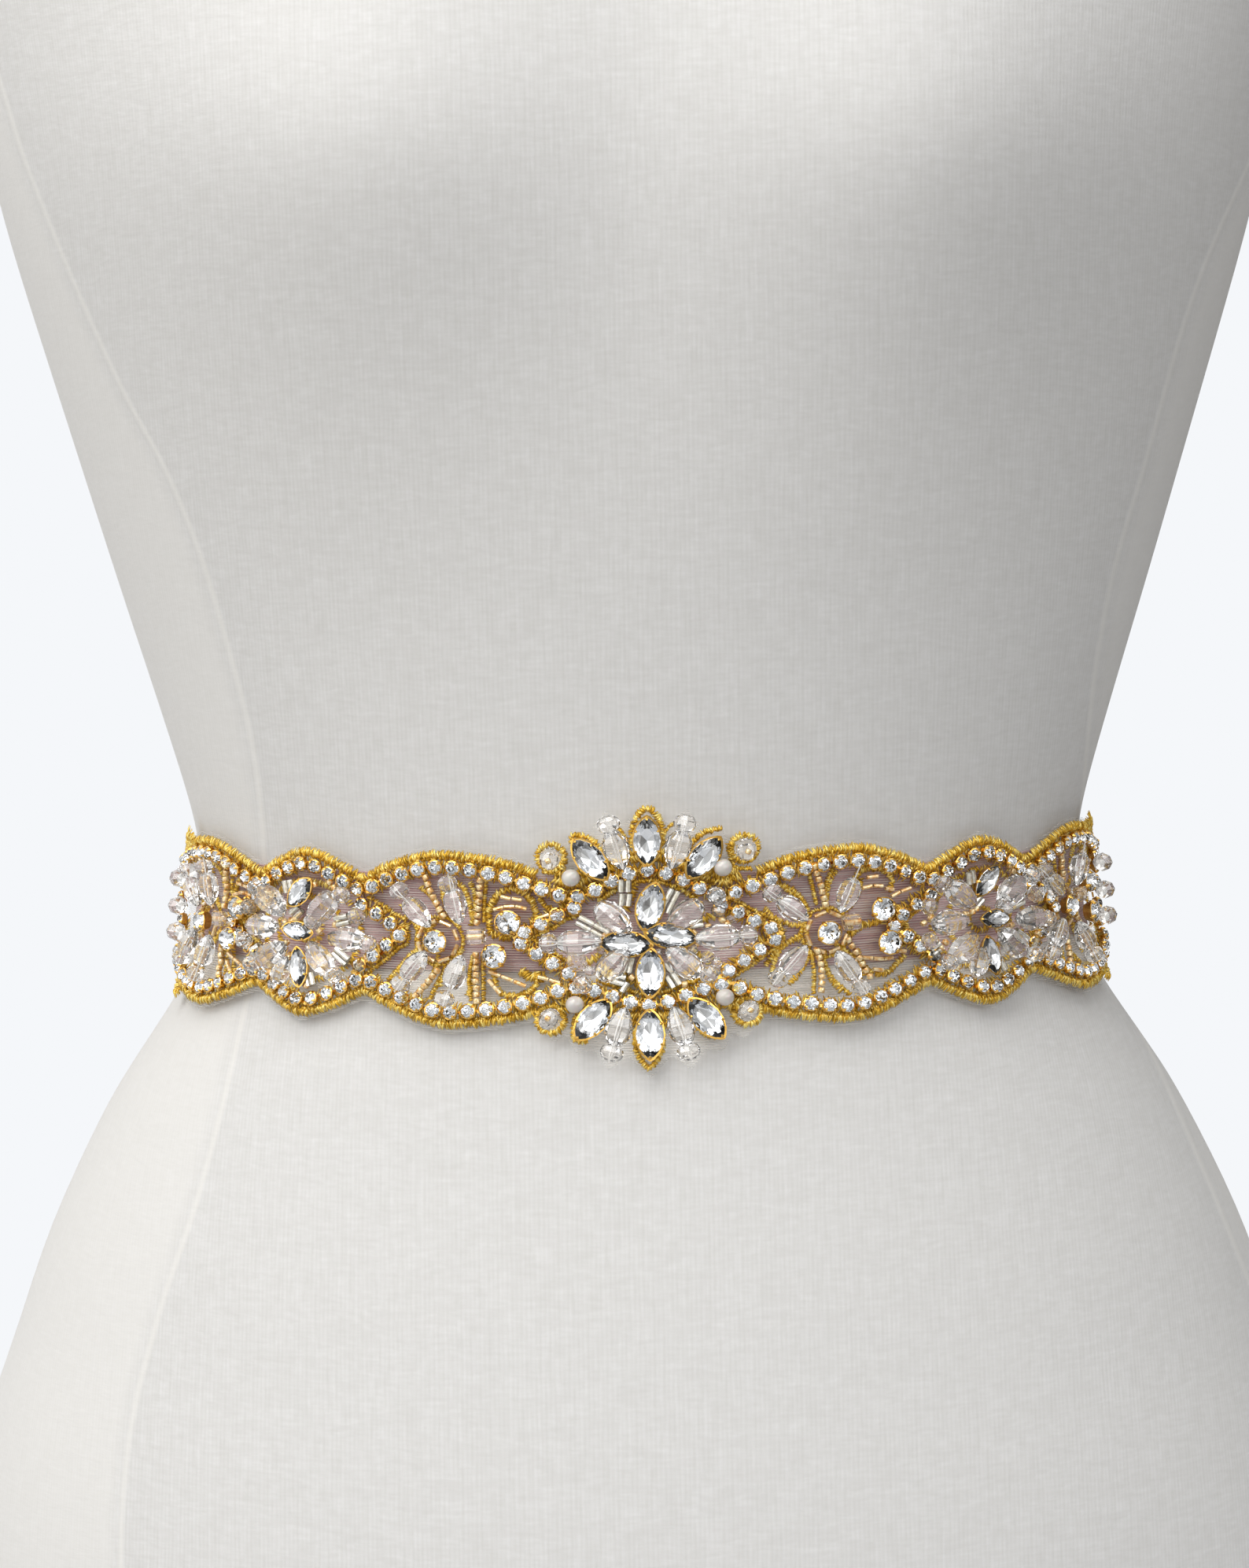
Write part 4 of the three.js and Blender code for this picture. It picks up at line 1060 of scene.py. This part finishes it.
flowerParts = {     # from the flower's own centre: x, y, turn and size; balls as x, y, lift
    "navettes": [(-0.4, 9.6, 44, 0.9), (-0.4, -8.4, 280, 0.9), (0.2, 0.4, -4, 0.82)],
    "drops": [(-8.6, 6.8, 142, 1.18), (-11.4, 0.6, 182, 1.16), (-8.2, -5.8, 214, 1.14), (5.8, -5.8, 314, 1.16),
              (12.6, -0.8, 358, 1.16), (6.2, 6, 46, 1.2), (-4.6, -9.6, 250, 0.86)],
    "balls": [(-13.2, -8.8, 7), (11, -9.6, 7.6), (12.2, 9.8, 7), (-16.8, 4.8, 5.6), (18.4, -1.6, 6.4), (-13.6, 10, 6),
              (-17.4, -3.4, 6.2), (15.2, 4.8, 5.8), (3.8, 2.8, 6.2)],
    "bugles": [(10.4, -5.2, -35, 4.4, 2), (-2.4, 4.6, 40, 3, 2), (10.6, 3.4, 14, 3.6, 2), (-14.8, -5.6, 30, 3, 2),
               (2.4, -11.2, -70, 3, 2), (-4.6, 10.6, 100, 3, 2)],
    "seeds": [(-2.8, 3), (-4, 2.4), (-5.4, -3), (-6, 2), (3.4, -2.6), (4.2, 0.4), (-12, -4.2), (-13.4, -5.4), (8.6, 2.2),
              (7.8, -2), (9.4, 3.6), (-4.4, -6.2), (1.6, -12.6), (8.6, 11), (7.6, 12.4), (-15.6, 1.8), (-17.6, 0.8),
              (17, -5), (15.6, -6.4), (-9.6, -10.4), (3.2, 11.4)],
}


def gatherStones():
    # Lists of flat places for every kind of stone and bead, in mm round from centre front.
    kinds = {kind: [] for kind in ("navettes", "chatons", "drops", "balls", "squares", "bugles", "goldBugles", "seeds",
                                   "small", "threads", "pearls", "rings")}
    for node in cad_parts:
        if node.startswith("navette_"):
            spot = flatSpot(node)
            if node.startswith("navette_centre"):      # the inner stones crowd to the middle
                spot["x"] = medallionX + 0.84 * (spot["x"] - medallionX)
            kinds["navettes"].append(placeAt(spot["x"], spot["y"], 4.6, spot["turn"], 1.07, rng.normal(0, 3)))
        elif node.startswith(("drop_level", "drop_corner", "drop_fan")):
            spot = flatSpot(node, 3.8)
            corner, level = node.startswith("drop_corner"), node.startswith("drop_level")
            if corner:
                spot["x"], spot["y"] = medallionX + 0.86 * (spot["x"] - medallionX), 0.86 * spot["y"]
            size = 1.16 if corner or level else 1.06
            kinds["drops"].append(placeAt(spot["x"], spot["y"], 5.8 if corner else 6.3, spot["turn"], size))
            if not corner:
                turn = math.radians(spot["turn"])
                reach = 6.6 if level else 6.0
                ballX, ballY = spot["x"] + reach * math.cos(turn), spot["y"] + reach * math.sin(turn)
                kinds["balls"].append(placeAt(ballX, ballY, 6.2 if level else 5.6, spot["turn"], 1.08))
                kinds["threads"].append(placeAt(spot["x"] + 2 * math.cos(turn), spot["y"] + 2 * math.sin(turn), 6.1,
                                                spot["turn"], (12.5, 1, 1)))
    for x, y in fromMedallion(centreSeeds):
        kinds["seeds"].append(placeAt(x, y, 4.4, rng.uniform(0, 180), (1.3, 1.5, 1.5)))
    for x, y in fromMedallion(centreBalls):
        kinds["balls"].append(placeAt(x, y, 7.4, math.degrees(math.atan2(y, x - medallionX))))
    for side in ("left", "right"):
        for shift in (0, ovalShift[side]):
            gatherOval(kinds, side, shift)
        gatherFlower(kinds, flowerX if side == "right" else -flowerX)
    for x, y, lift in limbBalls:
        for side in (1, -1):
            kinds["balls"].append(placeAt(medallionX + side * x, y, lift, 0, 1.05))
    for x, y, turn, length, count in silverBugles:
        addBugles(kinds["bugles"], medallionX + x, y, turn, length, count)
    for x, y, size in smallBeads:
        kinds["small"].append(placeAt(medallionX + x, y, 4.6, rng.uniform(0, 180), size))
    for x, y in fromMedallion(pearlSpots):
        kinds["pearls"].append(placeAt(x, y, 5.0, rng.uniform(0, 180)))
    for x, y in fromMedallion(ringBeads):
        kinds["rings"].append(placeAt(x, y, 4.9, rng.uniform(0, 180), 1.12))
        kinds["seeds"].append(placeAt(x, y, 7.1, rng.uniform(0, 180), (1.1, 1.3, 1.3)))
    return kinds


def addBugles(places, x, y, turn, length, count):
    for k in range(count):
        aside = (k - (count - 1) / 2) * 1.5
        angle = math.radians(turn)
        places.append(placeAt(x - math.sin(angle) * aside, y + math.cos(angle) * aside, 4.3 + 0.3 * k, turn,
                              (length, 1.5, 1.5)))


def gatherOval(kinds, side, shift):
    base = medallionX + shift
    for x, y, turn, ballX, ballY in ovalDrops[side]:
        kinds["drops"].append(placeAt(base + x, y, 6.0, turn))
        if ballX is not None:
            kinds["balls"].append(placeAt(base + ballX, ballY, 6.2, turn))
        angle = math.radians(turn)
        kinds["threads"].append(placeAt(base + x + 1.8 * math.cos(angle), y + 1.8 * math.sin(angle), 6.1, turn, (12, 1, 1)))
    for k, (x, y) in enumerate(ovalChatons[side]):
        kinds["chatons"].append(placeAt(base + x, y, 5.0, rng.uniform(-20, 20), 1.0 if k else 0.97, rng.normal(0, 4)))
    firstX, firstY = ovalChatons[side][0]
    for k in range(8):
        angle = math.radians(k * 45 + 20)
        kinds["goldBugles"].append(placeAt(base + firstX + 4.5 * math.cos(angle), firstY + 4.5 * math.sin(angle), 3.7,
                                           k * 45 + 110, (2.7, 1.0, 1.0)))
    x, y = squareBeads[side]
    kinds["squares"].append(placeAt(base + x, y, 4.9, 4))
    for points in seedStrings[side]:
        for x, y, turn in smoothPath([(base + x, y) for x, y in points], 1.55):
            kinds["seeds"].append(placeAt(x, y, 3.9 + rng.normal(0, 0.12), turn + rng.choice((-1, 1)) * rng.uniform(4, 20),
                                          (1.3, 1.6, 1.6)))
    for x1, y1, x2, y2 in goldBugles[side]:
        turn = math.degrees(math.atan2(y2 - y1, x2 - x1))
        kinds["goldBugles"].append(placeAt(base + (x1 + x2) / 2, (y1 + y2) / 2, 3.8, turn,
                                           (math.hypot(x2 - x1, y2 - y1), 1.0, 1.0)))


def gatherFlower(kinds, shift):
    base = medallionX + shift
    for x, y, turn, size in flowerParts["navettes"]:
        kinds["navettes"].append(placeAt(base + x, y, 4.8 if abs(y) > 1 else 6.6, turn, size))
    for x, y, turn, size in flowerParts["drops"]:
        kinds["drops"].append(placeAt(base + x, y, 6.0, turn, size))
    for x, y, lift in flowerParts["balls"]:
        kinds["balls"].append(placeAt(base + x, y, lift, math.degrees(math.atan2(y, x)), 0.95))
    for x, y, turn, length, count in flowerParts["bugles"]:
        addBugles(kinds["bugles"], base + x, y, turn, length, count)
    for x, y in flowerParts["seeds"]:
        kinds["seeds"].append(placeAt(base + x, y, 4.3, rng.uniform(0, 180), (1.3, 1.5, 1.5)))


def sewOvalLines():
    stitches = []
    for side in ("left", "right"):
        for shift in (0, ovalShift[side]):
            for width, points in ovalLines[side]:
                line = [(medallionX + shift + x, y) for x, y in points]
                sewLine(stitches, line, width, height=0.6, pitch=0.26)
            for x, y, turn, ballX, ballY in ovalDrops[side]:
                angle = math.radians(turn)
                for aside in (-1, 1):
                    edge = [(x + reach * math.cos(angle) - aside * off * math.sin(angle),
                             y + reach * math.sin(angle) + aside * off * math.cos(angle))
                            for reach, off in ((-5, 1.5), (-2, 3.1), (1.5, 3.7), (4.5, 3.3))]
                    sewLine(stitches, [(medallionX + shift + px, py) for px, py in edge], width=1.5, height=0.5, pitch=0.34)
            x, y = ovalChatons[side][0]
            ring = ringPoints(medallionX + shift + x, y, 5.6)
            sewLine(stitches, ring, width=1.1, height=0.5, pitch=0.34, closed=True)
    return sewPiece("goldLeaves", stitches)


goldLeaves = sewOvalLines()
kinds = gatherStones()


def nodesNamed(*starts):
    return [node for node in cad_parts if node.startswith(starts)]


def setStones():
    made = [
        stampCopies("navetteStones", navetteShape(), kinds["navettes"], [crystal, foil]),
        stampCopies("navetteSettings", navetteSetting(), kinds["navettes"], [plate]),
        stampCopies("chatonStones", chatonShape(), kinds["chatons"], [crystal, foil]),
        stampCopies("chatonSettings", chatonSetting(), kinds["chatons"], [plate]),
        stampCopies("glassDrops", dropShape(), kinds["drops"], [bead]),
        stampCopies("glassBalls", ballShape(), kinds["balls"], [bead]),
        stampCopies("ringBeads", ballShape(), kinds["rings"], [bead]),
        stampCopies("smallBeads", ballShape(), [place @ np.diag((0.5, 0.5, 0.5, 1)) for place in kinds["small"]], [bead]),
        stampCopies("squareBeads", squareShape(), kinds["squares"], [bead]),
        stampCopies("beadingThreads", threadShape(), kinds["threads"], [nylon]),
        stampCopies("pearls", pearlShape(), kinds["pearls"], [pearl], smooth=True),
        stampCopies("silverBugles", bugleShape(8, 0.09), kinds["bugles"], [crystal]),
        stampCopies("bugleLinings", bugleShape(8, 0.06), [place @ np.diag((0.98, 0.8, 0.8, 1)) for place in kinds["bugles"]],
                    [silverLined]),
        stampCopies("goldBugles", bugleShape(8, 0.25), kinds["goldBugles"], [goldLined]),
        stampCopies("seedBeads", seedShape(), kinds["seeds"], [goldLined], smooth=True),
        stampCopies("squareLinings", bugleShape(10, 0.15), [place @ np.diag((3.4, 1.5, 1.5, 1)) for place in kinds["squares"]],
                    [goldLined]),
    ]
    byName = {piece.name: piece for piece in made}
    for name in ("glassDrops", "glassBalls", "ringBeads", "smallBeads", "squareBeads", "silverBugles"):
        byName[name].visible_shadow = False     # clear glass lets the light through to what lies under it
    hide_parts(*nodesNamed("navette_"))
    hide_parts(*nodesNamed("chaton_"))
    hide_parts(*nodesNamed("drop_", "flower_"))
    return made


stonePieces = setStones()
print("stones set")


# ---------- floor, light and surroundings ----------
def makeFloor():
    bm = bmesh.new()
    bmesh.ops.create_circle(bm, cap_ends=True, segments=64, radius=0.42)
    mesh = bpy.data.meshes.new("floor")
    bm.to_mesh(mesh)
    bm.free()
    floor = bpy.data.objects.new("floor", mesh)
    scene.collection.objects.link(floor)
    material, tree, shader = startMaterial("matt painted studio floor", {"Roughness": 0.9})
    place = addNode(tree, "ShaderNodeTexCoord").outputs["Object"]
    cloud = addNode(tree, "ShaderNodeTexNoise", {"Scale": 3.0}, {"Vector": place})
    colour = mixColours(tree, cloud.outputs["Fac"], toLinear("#cdced0"), toLinear("#d4d5d7"))
    tree.links.new(colour, shader.inputs["Base Color"])
    mesh.materials.append(material)


makeFloor()

lights = {      # place from the sash's middle, size and power
    "window": {"place": (-1.0, -1.15, 1.3), "size": 1.3, "power": 13.5, "colour": "#fffdf9"},
    "top": {"place": (-0.1, -0.6, 1.7), "size": 1.1, "power": 11, "colour": "#ffffff"},
    "front": {"place": (0.3, -1.5, 0.6), "size": 0.3, "power": 0.8, "colour": "#ffffff"},
    "glintLeft": {"place": (-0.55, -1.2, 0.8), "size": 0.12, "power": 0.5, "colour": "#ffffff"},
    "glintRight": {"place": (0.6, -1.25, 0.45), "size": 0.12, "power": 0.4, "colour": "#ffffff"},
    "aside": {"place": (1.2, -1.1, 0.5), "size": 0.8, "power": 3.4, "colour": "#f6f9ff"},
}


def makeLights():
    target = Vector((0, 0, waistHeight))
    for name, light in lights.items():
        lamp = bpy.data.lights.new(name, "AREA")
        lamp.size, lamp.energy = light["size"], light["power"]
        lamp.color = toLinear(light["colour"])[:3]
        holder = bpy.data.objects.new(name, lamp)
        holder.location = target + Vector(light["place"])
        holder.rotation_mode = "QUATERNION"
        holder.rotation_quaternion = (target - holder.location).to_track_quat("-Z", "Y")
        scene.collection.objects.link(holder)


makeLights()


evenLight = 0.564        # strength of the room's light on matt surfaces


def makeWorld():
    # A pale backdrop seen directly; what the stones mirror is a dim room with a brighter side.
    world = bpy.data.worlds.new("studio")
    world.use_nodes = True
    tree = world.node_tree
    tree.nodes.clear()
    way = addNode(tree, "ShaderNodeTexCoord").outputs["Generated"]
    split = addNode(tree, "ShaderNodeSeparateXYZ", links={"Vector": way})
    side = addNode(tree, "ShaderNodeMath", {"operation": "MULTIPLY_ADD", 1: -0.3, 2: 0.5}, {0: split.outputs["X"]})
    lean = addNode(tree, "ShaderNodeMath", {"operation": "MULTIPLY_ADD", 1: 0.22}, {0: split.outputs["Z"], 2: side.outputs["Value"]})
    ramp = addNode(tree, "ShaderNodeValToRGB", links={"Fac": lean.outputs["Value"]})
    stops = ramp.color_ramp.elements
    stops[0].position, stops[0].color = 0.22, toLinear("#7d7a76")
    stops[1].position, stops[1].color = 0.8, toLinear("#fdfdfd")
    stops.new(0.48).color = toLinear("#d8d7d4")
    patches = addNode(tree, "ShaderNodeTexNoise", {"Scale": 2.2, "Detail": 1.0}, {"Vector": way})
    contrast = addNode(tree, "ShaderNodeMapRange", {"From Min": 0.44, "From Max": 0.56, "To Min": 0.8, "To Max": 2.1},
                       {"Value": patches.outputs["Fac"]})
    room = addNode(tree, "ShaderNodeBackground", {"Strength": 0.5}, {"Color": ramp.outputs["Color"]})
    backdrop = addNode(tree, "ShaderNodeBackground", {"Color": toLinear("#f5f7fa"), "Strength": 1.0})
    seen = addNode(tree, "ShaderNodeLightPath")
    mirrored = addNode(tree, "ShaderNodeMath", {"operation": "MAXIMUM"},
                       {0: seen.outputs["Is Glossy Ray"], 1: seen.outputs["Is Transmission Ray"]})
    even = addNode(tree, "ShaderNodeMix", {"A": evenLight},
                   {"Factor": mirrored.outputs["Value"], "B": contrast.outputs["Result"]})
    tree.links.new(even.outputs["Result"], room.inputs["Strength"])
    mix = addNode(tree, "ShaderNodeMixShader", links={0: seen.outputs["Is Camera Ray"], 1: room.outputs["Background"],
                                                      2: backdrop.outputs["Background"]})
    addNode(tree, "ShaderNodeOutputWorld", links={"Surface": mix.outputs["Shader"]})
    scene.world = world


makeWorld()
scene.view_settings.view_transform = "Standard"
print("studio lit")
